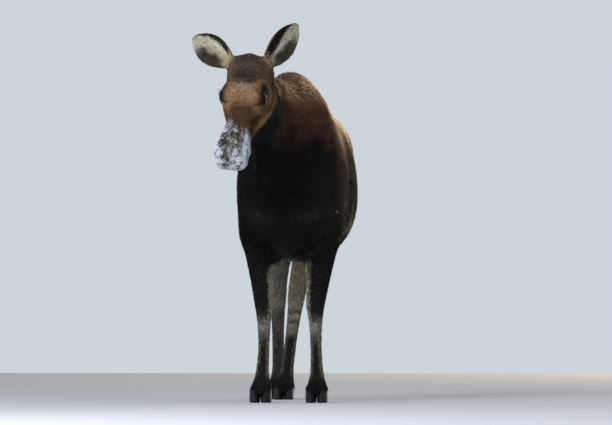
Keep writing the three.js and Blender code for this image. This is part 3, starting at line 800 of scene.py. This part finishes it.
# Patches with little frost: the middle of each, down and across, and its reach.
THIN_FROST = [
    (0.515, -0.046, 0.024, 0.030),
    (0.578, -0.016, 0.026, 0.018),
    (0.47, 0.012, 0.02, 0.022),
]
edge = ramp(0.035, 0.085, aside) + ramp(-0.085, -0.13, v) + bump(u, 0.59, 0.03)
lumps = noise(skin_points, 0.016, 8) + 0.7 * noise(skin_points, 0.008, 9)
frost = ramp(-0.03, 0.03, u - np.interp(s, START_AT, START) + 0.02 * lumps) * head
frost = frost * np.clip(0.20 + 0.40 * edge + 0.60 * lumps, 0.08, 1)
for at_u, at_s, reach_u, reach_s in THIN_FROST:
    clear = np.hypot((u - at_u) / reach_u, (s - at_s) / reach_s) + 0.15 * lumps
    frost = frost * (1 - 0.80 * ramp(1.4, 0.5, clear))
    paint("#241f1d", ramp(1.3, 0.5, clear) * 0.6, head)
frost = frost * (1 - np.clip(carved * 1.5, 0, 1))
frost = frost * ramp(-0.155, -0.140, v + 0.01 * lumps)
rim = 0.75 * head * bump(u, 0.535, 0.06) * ramp(0.050, 0.066, s) * ramp(-0.13, -0.09, v)
chin = head * bump(u, 0.452, 0.045) * ramp(0.035, 0.055, aside) * ramp(-0.13, -0.15, v)
frost = np.maximum(np.maximum(frost, rim), 0.55 * chin)
paint("#b09c7c", 0.8 * chin)
paint("#9aa2a9", ramp(0.15, 0.85, frost) * 0.7)
frosty = (frost[skin_triangles] > 0.05).any(axis=1)

# %% Ears
# How far across the ear its dark inner band starts, at five places along it.
BAND = {"ear_left": (0.15, 0.0, 0.12, 0.5, 0.8), "ear_right": (0.42, 0.50, 0.60, 0.62, 0.62)}
for name, ear in EARS.items():
    t, across = ear_places(ear, skin_points)
    on = weight(name)
    inside = ramp(0.1, 0.5, skin_normals @ ear["open"])
    medial = across * np.sign(ear["wide"] @ (-ear["side"] * left))
    paint("#46372a", whole, on)
    paint("#2a211b", ramp(0.3, -0.2, inside) * ramp(0.2, 0.5, t) * 0.5, on)
    rim = np.interp(t, [0.0, 0.2, 0.5, 0.8, 1.0], BAND[name])
    mottle = ramp(-0.1, 0.8, ragged + 0.5 * fine)
    paint("#bab49d", inside * ramp(0.99, 0.90, np.abs(across)) * ramp(1.0, 0.94, t), on)
    # Painted shade deep in the hollow of the ear, low down, broken by mottling.
    paint("#4d4437", inside * bump(t, 0.30, 0.24) * bump(medial, -0.3, 0.50) * (0.5 + 0.5 * mottle), on)
    paint("#dcd7c4", inside * bump(t, 0.42, 0.20) * bump(medial, rim - 0.22, 0.16), on)
    paint("#2b221b", inside * ramp(rim - 0.07, rim + 0.07, medial + 0.06 * fine), on)
    lower = ramp(0.0, 0.50, -medial - 0.10 + 0.25 * ragged + 0.5 * (0.45 - np.abs(t - 0.45)))
    paint("#2c241d", inside * lower * ramp(0.88, 0.62, t) * (0.93 + 0.07 * mottle), on)
    paint("#cdb98c", inside * ramp(0.26, 0.14, t + 0.03 * ragged) * ramp(-0.85, -0.4, medial), on)
    paint("#94693f", ramp(0.90, 0.97, np.abs(across)) * ramp(0.1, 0.3, t) * 0.9, on)
for ear in EARS.values():
    far = np.linalg.norm(skin_points - ear["root"] - 0.040 * ear["along"] - 0.022 * ear["open"], axis=1)
    paint("#b5a380", ramp(0.044, 0.024, far + 0.006 * ragged) * 0.9)
print("mean colour:", np.round(skin_colours.mean(0), 3))

# %% [markdown]
# ## Locks of hair
# Single hairs are far too many to model, but a moose's hair also hangs together in pointed
# locks, and those are what the eye sees. Each lock is a closed spindle: its root is just under
# the skin, its middle is a flat three-sided band, and its tip ends in a point. Middle and tip
# are laid back over the skin at their own height, so a lock follows the body round.

# %% Roots
RANDOM = np.random.default_rng(20)
corners = skin_points[skin_triangles]
sides = corners[:, 1:] - corners[:, :1]
skin_areas = np.linalg.norm(np.cross(sides[:, 0], sides[:, 1]), axis=1) / 2


def spread(chosen, density):
    """Roots spread evenly over the chosen triangles: the triangle of each, and where in it."""
    wanted = np.cumsum(skin_areas[chosen] * density[skin_triangles[chosen]].mean(axis=1))
    count = int(wanted[-1])
    steps = (np.arange(count) + RANDOM.random(count)) / count * wanted[-1]
    which = np.minimum(np.searchsorted(wanted, steps), len(chosen) - 1)
    a, b = RANDOM.random((2, count))
    a, b = np.where(a + b > 1, 1 - a, a), np.where(a + b > 1, 1 - b, b)
    return skin_triangles[chosen[which]], np.stack([1 - a - b, a, b], axis=1)


def at(field, root):
    """A field's values where the roots are."""
    triangle, share = root
    return np.einsum("nk,nk...->n...", share, field[triangle])


# %% A place on the unwrap
ROWS, MARGIN = 24, 0.01


def unwrapped(points, axis, facing):
    """Unrolls a piece round its own middle line, cut along the side away from facing."""
    axis, facing = unit(np.array(axis, float)), np.array(facing, float)
    ahead_side = unit(facing - axis * (axis @ facing))
    along = points @ axis
    bins = np.linspace(along.min(), along.max() + 1e-6, ROWS + 1)
    row = np.digitize(along, bins) - 1
    held = np.bincount(row, minlength=ROWS)
    filled = held > 0
    row_at = (bins[:-1] + bins[1:])[filled] / 2
    off = []
    for side in (ahead_side, np.cross(axis, ahead_side)):
        far = points @ side
        mid = np.bincount(row, far, ROWS)[filled] / held[filled]
        off.append(far - np.interp(along, row_at, mid))
    grid = np.stack([np.arctan2(off[1], off[0]), along], axis=1)
    low, high = grid.min(0), grid.max(0)
    return MARGIN + (1 - 2 * MARGIN) * (grid - low) / (high - low)


# %% Build locks
PATCH = 0.0015  # half of a lock's patch on the unwrap
CLUMP, DRAWN = 9, 0.55  # locks drawn together, and how far
SUNK, THINNEST = 0.0015, 0.0016  # how deep a root is, and how thin a lock may be
ONE_RING = [(0, 2, 1), (0, 3, 2), (0, 1, 3), (4, 1, 2), (4, 2, 3), (4, 3, 1)]
TWO_RINGS = [(0, 2, 1), (0, 3, 2), (0, 1, 3), (7, 4, 5), (7, 5, 6), (7, 6, 4)]
for one, two in ((1, 2), (2, 3), (3, 1)):
    TWO_RINGS += [(one, two, two + 3), (one, two + 3, one + 3)]
# For one ring or two: how far along the lock each is, how high it lies, and how wide it is.
RINGS = {1: ((0.42, 0.60, 1.0),), 2: ((0.28, 0.50, 0.9), (0.64, 0.86, 0.8))}
TIP_HIGH = 0.98


def many(shape, count, per):
    """The triangles of one shape, repeated for each of many that have so many points."""
    return (np.arange(count)[:, None, None] * per + np.array(shape)[None]).reshape(-1, 3)


def locks(root, rings, slim, splay, unroll):
    """Closed spindles of hair: points, triangles, colours, and places on the unwrap."""
    base = at(skin_points, root)
    normal = unit(at(skin_normals, root))
    count = len(base)
    turn = RANDOM.normal(0, splay, count) + 1.6 * splay * noise(base, 0.045, 11)
    way = laid(at(lie, root), normal)
    way = unit(way * np.cos(turn)[:, None] + np.cross(normal, way) * np.sin(turn)[:, None])
    side = np.cross(normal, way)
    long = at(length, root) * RANDOM.uniform(0.72, 1.18, count)
    high = at(depth, root) * RANDOM.uniform(0.82, 1.06, count)
    wide = np.maximum(long * slim * RANDOM.uniform(0.75, 1.25, count), THINNEST)
    seeds = base[RANDOM.permutation(count)[: max(count // CLUMP, 1)]]
    tree = KDTree(len(seeds))
    for i, seed in enumerate(seeds.tolist()):
        tree.insert(seed, i)
    tree.balance()
    loose = at(hanging, root)
    clump = np.array([tree.find(p)[1] for p in base.tolist()])
    pull = (seeds[clump] - base) * DRAWN
    tone = np.exp(RANDOM.normal(0, 0.10, count) + RANDOM.normal(0, 0.13, len(seeds))[clump])
    tint = at(skin_colours, root) * tone[:, None]
    iced = at(frost, root) > RANDOM.random(count) * 1.1
    tint = blend(tint, colour("#c3cbd3") * RANDOM.uniform(0.6, 1.1, (count, 1)), iced * 0.85)

    def over(t, rise):
        """A place part of the way along the lock, over the skin."""
        plain = base + way * (long * t)[:, None] + pull * t + normal * high[:, None]
        place, facing, _ = nearest(skin_tree, plain)
        laid_down = place + facing * (high * rise)[:, None]
        return blend(laid_down, plain + normal * (0.12 * long * t)[:, None], loose), facing

    points = [base - normal * SUNK]
    # Each lock is darker at its root, as painted shade where the locks cover one another, and paler
    # towards its tip.
    dark = np.interp(long, [0.015, 0.06], [0.85, 0.64])[:, None]
    shades = [tint * dark]
    for t, rise, fat in RINGS[rings]:
        centre, facing = over(t, rise)
        half, ridge = side * (wide * fat / 2)[:, None], facing * (wide * fat * 0.16)[:, None]
        points += [centre + half - ridge, centre + ridge, centre - half - ridge]
        shades += [blend(tint * dark, tint * 1.1, np.full(count, 0.35 + 0.6 * t))] * 3
    points.append(over(1.0, TIP_HIGH)[0])
    shades.append(tint * (1.35 - 0.3 * dark))
    per = len(points)
    triangles = many(ONE_RING if rings == 1 else TWO_RINGS, count, per)
    own = np.zeros((per, 2))
    own[0], own[-1] = (-PATCH, 0), (PATCH, 0)
    own[1:-1:3], own[3:-1:3] = (0, PATCH), (0, -PATCH)
    places = unroll(base)[:, None, :] + own[None]
    stack = lambda rows: np.stack(rows, axis=1).reshape(-1, 3)
    return stack(points), triangles, np.clip(stack(shades), 0, 1), places.reshape(-1, 2)


print("roots' area:", round(float(skin_areas.sum()), 2), "square metres")

# %% [markdown]
# ## Pieces of coat
# The coat is one coat, but it is made in pieces so that each stays light enough. Every
# triangle of the skin belongs to exactly one piece, so there is no seam and no doubled hair.
# Hair is densest where it is shortest.

# %% Which piece each triangle grows
PIECE_HALF = 0.48  # where the trunk's fore half ends
MANE_SHARE = 0.35  # how much of it makes a triangle the mane's
part_names = list(part)
winner = np.argmax(np.stack([part[n] for n in part_names])[:, skin_triangles].mean(axis=2), axis=0)
tx, ty, _ = body_places(skin_points[skin_triangles].mean(axis=1))
piece = np.array(part_names)[winner].astype("<U24")
is_trunk = piece == "trunk"
is_mane = np.isin(piece, ("trunk", "neck")) & (mane[skin_triangles].mean(axis=1) > MANE_SHARE)
hand_of = np.where(tx > 0, "trunk_left", "trunk_right")
piece = np.where(is_trunk, np.char.add(hand_of, np.where(ty < PIECE_HALF, "_fore", "_hind")), piece)
piece = np.where(is_mane, "mane", piece)
HAIR = {  # locks per square metre, their width over their length, and how far they splay
    "trunk": (36_000, 0.105, 0.20),
    "mane": (42_000, 0.060, 0.22),
    "neck": (46_000, 0.09, 0.20),
    "head": (84_000, 0.13, 0.22),
    "ear": (100_000, 0.12, 0.20),
    "leg": (44_000, 0.14, 0.16),
    "tail": (40_000, 0.10, 0.2),
    "bell": (40_000, 0.10, 0.2),
}
AXES = {"trunk": (0, 1, 0), "mane": (0, 1, -0.2), "neck": (0, 1, 0.3), "head": tuple(down)}
bare = 1 - 0.96 * ramp(0.15, 0.5, carved)
for side, centre in eyes.items():
    _, slit, lift = eye_axes(side)
    along, high = measured(skin_points, centre, slit, lift)
    beyond = ramp(1.2, 1.5, np.hypot(along / (SLIT_HALF + 0.001), high / (LID_UP + 0.001)))
    bare = bare * np.maximum(beyond, np.linalg.norm(skin_points - centre, axis=1) > 0.05)

# %% Grow the coat
coats = {}
for name in sorted(set(piece)):
    kind = next(k for k in HAIR if name.startswith(k))
    density, slim, splay = HAIR[kind]
    axis = EARS[name]["along"] if name in EARS else AXES.get(kind, (0, 0, 1))
    outside = {"trunk": (1 if "left" in name else -1, 0, 0), "mane": (0, 0, 1), "head": out}
    facing = EARS[name]["open"] if name in EARS else outside.get(kind, (0, -1, 0))
    root = spread(np.nonzero(piece == name)[0], density * bare)
    unroll = lambda p, axis=axis, facing=facing: unwrapped(p, axis, facing)
    made = locks(root, 2 if kind == "mane" else 1, slim, splay, unroll)
    coats[name] = placed("coat_" + name, *made)
    print(name, len(root[0]), "locks,", len(made[1]), "triangles")
print("coat triangles:", sum(len(c.data.polygons) for c in coats.values()))

# %% [markdown]
# ## Finishes
# Every finish is worked out from the surface itself: a fine grain varies its tint and its
# relief. Hair shines softly, and skin is duller. The eye is wet. Hoof is dark dull horn.

# %% A node adder and the materials
def add_node(tree, kind, inputs=None, **settings):
    """Adds a node with its settings; an input is a value, or an output socket to link."""
    node = tree.nodes.new(kind)
    for key, value in settings.items():
        setattr(node, key, value)
    for key, value in (inputs or {}).items():
        if isinstance(value, bpy.types.NodeSocket):
            tree.links.new(value, node.inputs[key])
        else:
            node.inputs[key].default_value = value
    return node


def material(name, roughness, grain, grain_depth, varied, base=None, clear=0.0, shine=0.2):
    """A principled finish, coloured by the mesh's own colours, with noise in tint and relief."""
    made = bpy.data.materials.new(name)
    made.use_nodes = True
    tree = made.node_tree
    tree.nodes.clear()
    place = add_node(tree, "ShaderNodeTexCoord").outputs["Object"]
    lumps = add_node(tree, "ShaderNodeTexNoise", {"Vector": place, "Scale": 1 / grain, "Detail": 3.0})
    lumps = lumps.outputs["Fac"]
    if base is None:
        tint = add_node(tree, "ShaderNodeAttribute", attribute_name=COLOUR).outputs["Color"]
    else:
        tint = tuple(colour(base))
    span = {"From Min": 0.3, "From Max": 0.7, "To Min": 1 - varied, "To Max": 1 + varied}
    shade = add_node(tree, "ShaderNodeMapRange", {"Value": lumps, **span}).outputs["Result"]
    tinted = add_node(tree, "ShaderNodeVectorMath", {0: tint, "Scale": shade}, operation="SCALE")
    height = {"Height": lumps, "Distance": grain_depth, "Strength": 1.0}
    relief = add_node(tree, "ShaderNodeBump", height)
    look = {
        "Base Color": tinted.outputs["Vector"],
        "Roughness": roughness,
        "Coat Weight": clear,
        "Coat Roughness": 0.04,
        "Specular IOR Level": shine,
        "Normal": relief.outputs["Normal"],
    }
    shader = add_node(tree, "ShaderNodeBsdfPrincipled", look)
    add_node(tree, "ShaderNodeOutputMaterial", {"Surface": shader.outputs["BSDF"]})
    return made


# Roughness, the grain's size and depth in metres, and how much it varies the tint.
fur = material("fur", 0.50, 0.003, 0.0002, 0.10, shine=0.14)
hide = material("hide", 0.75, 0.0035, 0.0012, 0.25)
lid = material("lid", 0.42, 0.002, 0.0004, 0.12)
wet = material("wet_eye", 0.12, 0.004, 0.0, 0.05, clear=0.3, shine=0.25)
ice = material("ice", 0.45, 0.002, 0.0004, 0.06, base="#e9eef3", shine=0.4)
horn = material("horn", 0.48, 0.009, 0.0010, 0.25, base="#1b191a")
print("materials:", [m.name for m in bpy.data.materials])

# %% [markdown]
# ## Frost on the muzzle
# She has been feeding in snow, and grains of it cling to the hair of her muzzle, thickest on
# its edges. Geometry Nodes scatters the grains over that part of the skin: pointed little
# crystals of mixed sizes, turned at random, sitting as high as the tips of the hair.

# %% Scatter the grains
GRAIN_FACES = 8  # four sides, and four faces of its base
CLOSEST, GRAIN_TALL = 0.0005, 1.2  # how close grains may sit, and how tall for their width
FROST_INPUTS = {
    "Geometry": "Geometry",
    "Grains per square metre": "Float",
    "Smallest": "Float",
    "Largest": "Float",
    "Seed": "Int",
    "Finish": "Material",
}


def frost_tree():
    """Node tree: scatters grains over a mesh, as thick as its attribute says."""
    tree = bpy.data.node_groups.new("frost", "GeometryNodeTree")
    for name, kind in FROST_INPUTS.items():
        tree.interface.new_socket(name, in_out="INPUT", socket_type="NodeSocket" + kind)
    tree.interface.new_socket("Geometry", in_out="OUTPUT", socket_type="NodeSocketGeometry")
    given = tree.nodes.new("NodeGroupInput").outputs

    def varied(inputs, kind):
        """Random values between two, one for each grain."""
        inputs = {**inputs, "Seed": given["Seed"]}
        return add_node(tree, "FunctionNodeRandomValue", inputs, data_type=kind).outputs

    thick = add_node(tree, "GeometryNodeInputNamedAttribute", {"Name": "frost"}, data_type="FLOAT")
    scattering = {
        "Mesh": given["Geometry"],
        "Distance Min": CLOSEST,
        "Density Max": given["Grains per square metre"],
        "Density Factor": thick.outputs["Attribute"],
        "Seed": given["Seed"],
    }
    points = add_node(
        tree, "GeometryNodeDistributePointsOnFaces", scattering, distribute_method="POISSON"
    )
    cone = {"Vertices": 4, "Radius Top": 0.0, "Radius Bottom": 0.5, "Depth": GRAIN_TALL}
    crystal = add_node(tree, "GeometryNodeMeshCone", cone, fill_type="TRIANGLE_FAN")
    size = varied({2: given["Smallest"], 3: given["Largest"]}, "FLOAT")[1]
    turn = varied({0: (0.0, 0.0, 0.0), 1: (6.3, 6.3, 6.3)}, "FLOAT_VECTOR")["Value"]
    shape = varied({0: (0.5, 0.6, 0.4), 1: (1.5, 1.3, 0.9)}, "FLOAT_VECTOR")["Value"]
    scale = add_node(tree, "ShaderNodeVectorMath", {0: shape, "Scale": size}, operation="SCALE")
    setting = {
        "Points": points.outputs["Points"],
        "Instance": crystal.outputs["Mesh"],
        "Rotation": turn,
        "Scale": scale.outputs["Vector"],
    }
    grains = add_node(tree, "GeometryNodeInstanceOnPoints", setting).outputs["Instances"]
    real = add_node(tree, "GeometryNodeRealizeInstances", {"Geometry": grains})
    finishing = {"Geometry": real.outputs["Geometry"], "Material": given["Finish"]}
    dressed = add_node(tree, "GeometryNodeSetMaterial", finishing)
    add_node(tree, "NodeGroupOutput", {"Geometry": dressed.outputs["Geometry"]})
    return tree


def set_inputs(modifier, values):
    """Sets a tree's inputs by their names."""
    for item in modifier.node_group.interface.items_tree:
        if item.in_out == "INPUT" and item.name in values:
            modifier[item.identifier] = values[item.name]


frost_at = skin_points + skin_normals * FROST_HEIGHT
frost_bed = placed("frost_bed", frost_at, skin_triangles[frosty])
made = frost_bed.data.attributes.new("frost", "FLOAT", "POINT")
made.data.foreach_set("value", frost.astype(np.float32))
grow = frost_bed.modifiers.new("frost", "NODES")
grow.node_group = frost_tree()
grains = {"Grains per square metre": 430_000.0, "Smallest": 0.0007, "Largest": 0.0030, "Seed": 4}
set_inputs(grow, {**grains, "Finish": ice})
frost_grains = linked("frost", finished(frost_bed, "frost"))
bpy.data.objects.remove(frost_bed)
print("grains of frost:", len(frost_grains.data.polygons) // GRAIN_FACES)

# %% [markdown]
# ## Eyeballs and lids
# Each ball bulges a little at the front, where the clear cornea is. Its iris is so dark a
# brown that the long pupil hardly shows, and the wet surface carries the highlight. A lid is a
# loft of almond rings: from the ball, over a rounded wet edge, out to the skin and under it.

# %% Loft rings into a mesh
TURNS = 72
TURN = np.arange(TURNS) / TURNS * 2 * np.pi


def lofted(rings, closed=False):
    """Points and triangles over rings of TURNS points each, the two ends closed if asked."""
    rows = len(rings)
    i, j = np.meshgrid(np.arange(rows - 1), np.arange(TURNS), indexing="ij")
    a, b = i * TURNS + j, i * TURNS + (j + 1) % TURNS
    triangles = np.stack([a, b, b + TURNS, a, b + TURNS, a + TURNS], axis=-1).reshape(-1, 3)
    points = np.vstack(rings)
    if closed:
        first, top = len(points), (rows - 1) * TURNS
        points = np.vstack([points, rings[0].mean(0), rings[-1].mean(0)])
        turn, after = np.arange(TURNS), (np.arange(TURNS) + 1) % TURNS
        low = np.stack([np.full(TURNS, first), after, turn], axis=1)
        high = np.stack([np.full(TURNS, first + 1), top + turn, top + after], axis=1)
        triangles = np.vstack([triangles, low, high])
    return points, triangles


def round_eye(side):
    """The turns round an eye, so taken that the faces of a loft look out."""
    away, slit, lift = eye_axes(side)
    return TURN if np.cross(slit, lift) @ away > 0 else -TURN


def on_ball(radius, along, high):
    """How far out a ball of that radius is, at places along the slit and up."""
    return np.sqrt(np.maximum(radius**2 - along**2 - high**2, 1e-6))


# %% Eyeballs
POLAR = np.radians(np.concatenate([np.linspace(1, 60, 32), np.linspace(66, 178, 16)]))
PUPIL_LONG, PUPIL_HIGH, IRIS, IRIS_RING = 0.0072, 0.0038, 0.0142, 0.0105
CORNEA = 0.05  # how far it bulges, as a share of the ball
balls, lids, lashes = {}, {}, {}
for side in eyes:
    rings, tints = [], []
    for angle in POLAR:
        bulge = BALL_RADIUS * (1 + CORNEA * ramp(0.75, 0.2, angle))
        flat = bulge * np.sin(angle)
        along, high = flat * np.cos(round_eye(side)), flat * np.sin(round_eye(side))
        rings.append(from_eye(side, along, high, bulge * np.cos(angle)))
        pupil = ramp(1.1, 0.85, np.hypot(along / PUPIL_LONG, high / PUPIL_HIGH))
        iris = ramp(IRIS, IRIS - 0.0012, np.full(TURNS, flat)) * (angle < np.pi / 2)
        tint = blend(np.tile(colour("#33241b"), (TURNS, 1)), colour("#2c180c"), iris)
        lighter = iris * bump(np.hypot(along, high), IRIS_RING, 0.004)
        tint = blend(tint, colour("#3f2413"), lighter)
        tints.append(blend(tint, colour("#050404"), pupil))
    tints = np.vstack(tints[::-1] + [tints[-1][:1], tints[0][:1]])
    balls[side] = placed("eyeball_" + side, *lofted(rings[::-1], closed=True), tints)

# %% Lids
# How far outside the opening, and how far out from the ball's middle.
LID_RINGS = [(-0.0020, 0.0184), (-0.0004, 0.0194), (0.0006, 0.0208), (0.0018, 0.0216), (0.0036, 0.0217)]
# How far outside the opening, and how far under the skin.
LID_SKIRT = [(0.0085, -0.0006), (0.0120, 0.0016), (0.0145, 0.0035)]
for side in eyes:
    rings = []
    for grow, radius in LID_RINGS:
        along, high = almond(round_eye(side), grow)
        rings.append(from_eye(side, along, high, on_ball(radius, along, high)))
    for grow, sink in LID_SKIRT:
        place, normal, _ = nearest(face_tree, from_eye(side, *almond(round_eye(side), grow), 0.012))
        rings.append(place - normal * sink)
    points, triangles = lofted(rings[::-1])
    tints = np.tile(colour("#1c1512"), (len(points), 1))
    tints[: 2 * TURNS] = colour("#241b15")
    lids[side] = placed("lids_" + side, points, triangles, tints)

# %% Lashes
LASHES, LASH_LONG, LASH_THICK, LASH_ROOT = 26, 0.014, 0.0008, 0.0212
for side in eyes:
    away, slit, lift = eye_axes(side)
    along, high = almond(np.radians(np.linspace(15, 165, LASHES)), 0.0012)
    foot_of = from_eye(side, along, high, on_ball(LASH_ROOT, along, high))
    way = away + np.outer(0.5 * along / SLIT_HALF, slit) - 0.25 * lift
    way = unit(way + RANDOM.normal(0, 0.08, (LASHES, 3)))
    reach = LASH_LONG * RANDOM.uniform(0.7, 1.1, (LASHES, 1))
    bend = foot_of + way * reach * 0.5
    tip = foot_of + way * reach - lift * 0.003
    wide, thick = unit(np.cross(way, lift)) * LASH_THICK / 2, lift * LASH_THICK / 2
    ring = [bend + wide - thick, bend + thick, bend - wide - thick]
    points = np.stack([foot_of - way * 0.001, *ring, tip], axis=1).reshape(-1, 3)
    tints = np.tile(colour("#120d0b"), (len(points), 1))
    lashes[side] = placed("lashes_" + side, points, many(ONE_RING, LASHES, 5), tints)
print("eyeballs and lids:", [len(o.data.polygons) for o in (*balls.values(), *lids.values())])

# %% [markdown]
# ## The skin under the hair, and the pieces in place
# The skin carries the same markings, darker where the coat is deep and shades it. Each hoof
# and dewclaw is lofted through rings, inside the box of the imported one.

# %% Skin, finishes and replacements
shaded = skin_colours * (1 - 0.30 * ramp(0.004, 0.020, depth))[:, None]
skin = placed("skin", skin_points, skin_triangles, shaded)
for made, finish, slot in [
    (skin, hide, "coat"),
    *[(c, fur, "coat") for c in coats.values()],
    *[(b, wet, "eye") for b in balls.values()],
    *[(rim, lid, "coat") for rim in (*lids.values(), *lashes.values())],
    (frost_grains, ice, "coat"),
]:
    made.data.materials.append(finish)
    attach(made, "root")
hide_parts(*FLESH)
for side, ball in balls.items():
    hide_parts("eye_" + side)
HOOF_STEPS = [  # height, how far the toe slopes back, and how wide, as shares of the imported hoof
    (0.0, 0.06, 0.80),
    (0.04, 0.02, 0.90),
    (0.14, 0.015, 0.97),
    (0.45, 0.12, 1.0),
    (0.80, 0.23, 0.97),
    (1.0, 0.30, 0.90),
    (1.10, 0.38, 0.74),
    (1.22, 0.46, 0.50),
]
CLAW_STEPS = [  # height, how far back, and how wide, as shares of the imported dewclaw
    (0.10, 0.72, 0.15),
    (0.16, 0.66, 0.42),
    (0.36, 0.45, 0.74),
    (0.62, 0.18, 0.80),
    (0.85, -0.05, 0.66),
    (1.0, -0.2, 0.3),
]
# Shares of the size: how much a toe narrows, how full its inner side is, how far it bends in,
# how far a heel leans forward, and half a dewclaw's thickness.
TOE_NARROWS, INNER_FULL, TOE_IN, HEEL_LEAN, CLAW_THICK = 0.42, 1.16, 0.05, 0.04, 0.36
cosine, sine = np.cos(TURN), np.sin(TURN)
in_front = np.maximum(cosine, 0)
for name in [n for n in nodes if n.startswith(("hoof", "dewclaw"))]:
    low, high = (np.array(c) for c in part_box(name))
    mid, size = (low + high) / 2, high - low
    rings = []
    if name.startswith("hoof"):
        inward = -1 if name.endswith("_left") else 1
        for rise, slope, fat in HOOF_STEPS:
            toe, heel = low[1] + size[1] * slope, high[1] - size[1] * HEEL_LEAN * rise
            fuller = np.where(sine * inward > 0, INNER_FULL, 1.0)
            across = sine * size[0] / 2 * fat * (1 - TOE_NARROWS * in_front**2.2) * fuller
            across = across + inward * size[0] * TOE_IN * in_front**2
            fore_aft = (toe + heel) / 2 - np.sign(cosine) * np.abs(cosine) ** 0.85 * (heel - toe) / 2
            up = np.full(TURNS, low[2] + size[2] * rise)
            rings.append(np.stack([mid[0] + across, fore_aft, up], axis=1))
    else:
        for rise, back, fat in CLAW_STEPS:
            centre = np.array([mid[0], low[1] + size[1] * back, low[2] + size[2] * rise])
            ring = np.stack([sine * size[0] / 2, cosine * size[1] * CLAW_THICK, 0 * sine], axis=1)
            rings.append(centre + ring * fat)
    shaped = placed("horn_" + name, *lofted(rings, closed=True))
    shaped.data.materials.append(horn)
    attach(shaped, "root")
    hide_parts(name)
print("skin in place of", len(FLESH), "nodes")

# %% [markdown]
# ## Light, floor and background
# Soft light from all round and a broad lamp in front show the colours as they are. A low warm
# lamp far behind her left shoulder, like a weak sun, parts dark fur from dark fur a little.

# %% World, lamps and floor
FLOOR = 14.0
LAMPS_AIM = Vector((0, -0.2, 1.0))
world = bpy.data.worlds.new("sky")
scene.world = world
world.use_nodes = True
tree = world.node_tree
tree.nodes.clear()
rays = add_node(tree, "ShaderNodeLightPath")


def sky(hex_code, strength):
    inputs = {"Color": (*colour(hex_code), 1), "Strength": strength}
    return add_node(tree, "ShaderNodeBackground", inputs).outputs["Background"]


mixing = {0: rays.outputs["Is Camera Ray"], 1: sky("#e4e8f0", 0.62), 2: sky("#ccd4dc", 1.0)}
choice = add_node(tree, "ShaderNodeMixShader", mixing)
add_node(tree, "ShaderNodeOutputWorld", {"Surface": choice.outputs["Shader"]})


def lamp(name, place, size, power, hex_code):
    light = bpy.data.lights.new(name, "AREA")
    light.shape = "DISK"
    light.size = size
    light.energy = power
    light.color = colour(hex_code)
    made = linked(name, light)
    made.location = place
    made.rotation_euler = (LAMPS_AIM - made.location).to_track_quat("-Z", "Y").to_euler()


lamp("front", (-2.6, -7.8, 4.2), 3.0, 600, "#f6f7ff")
lamp("sun", (6.4, 16.4, 3.0), 3.0, 1200, "#ffdcae")
corners_of = np.array([(-1, -1, 0), (1, -1, 0), (1, 1, 0), (-1, 1, 0)]) * FLOOR
floor = placed("floor", corners_of, np.array([(0, 1, 2), (0, 2, 3)]))
floor.data.materials.append(material("floor", 0.9, 0.3, 0.0, 0.01, base="#c3c9ce"))
floor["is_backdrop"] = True
scene.view_settings.view_transform = "Standard"

# %% [markdown]
# ## Close the lesson
# How far this dressed model reaches past the imported model's box, at its low and its high corner, is
# printed.

# %% Sizes and finish
seen_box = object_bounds()
grown = [[round((b - a) * 1000, 1) for a, b in zip(*pair)] for pair in zip(cad_box, seen_box)]
print("grown past the packed box by (mm):", grown)
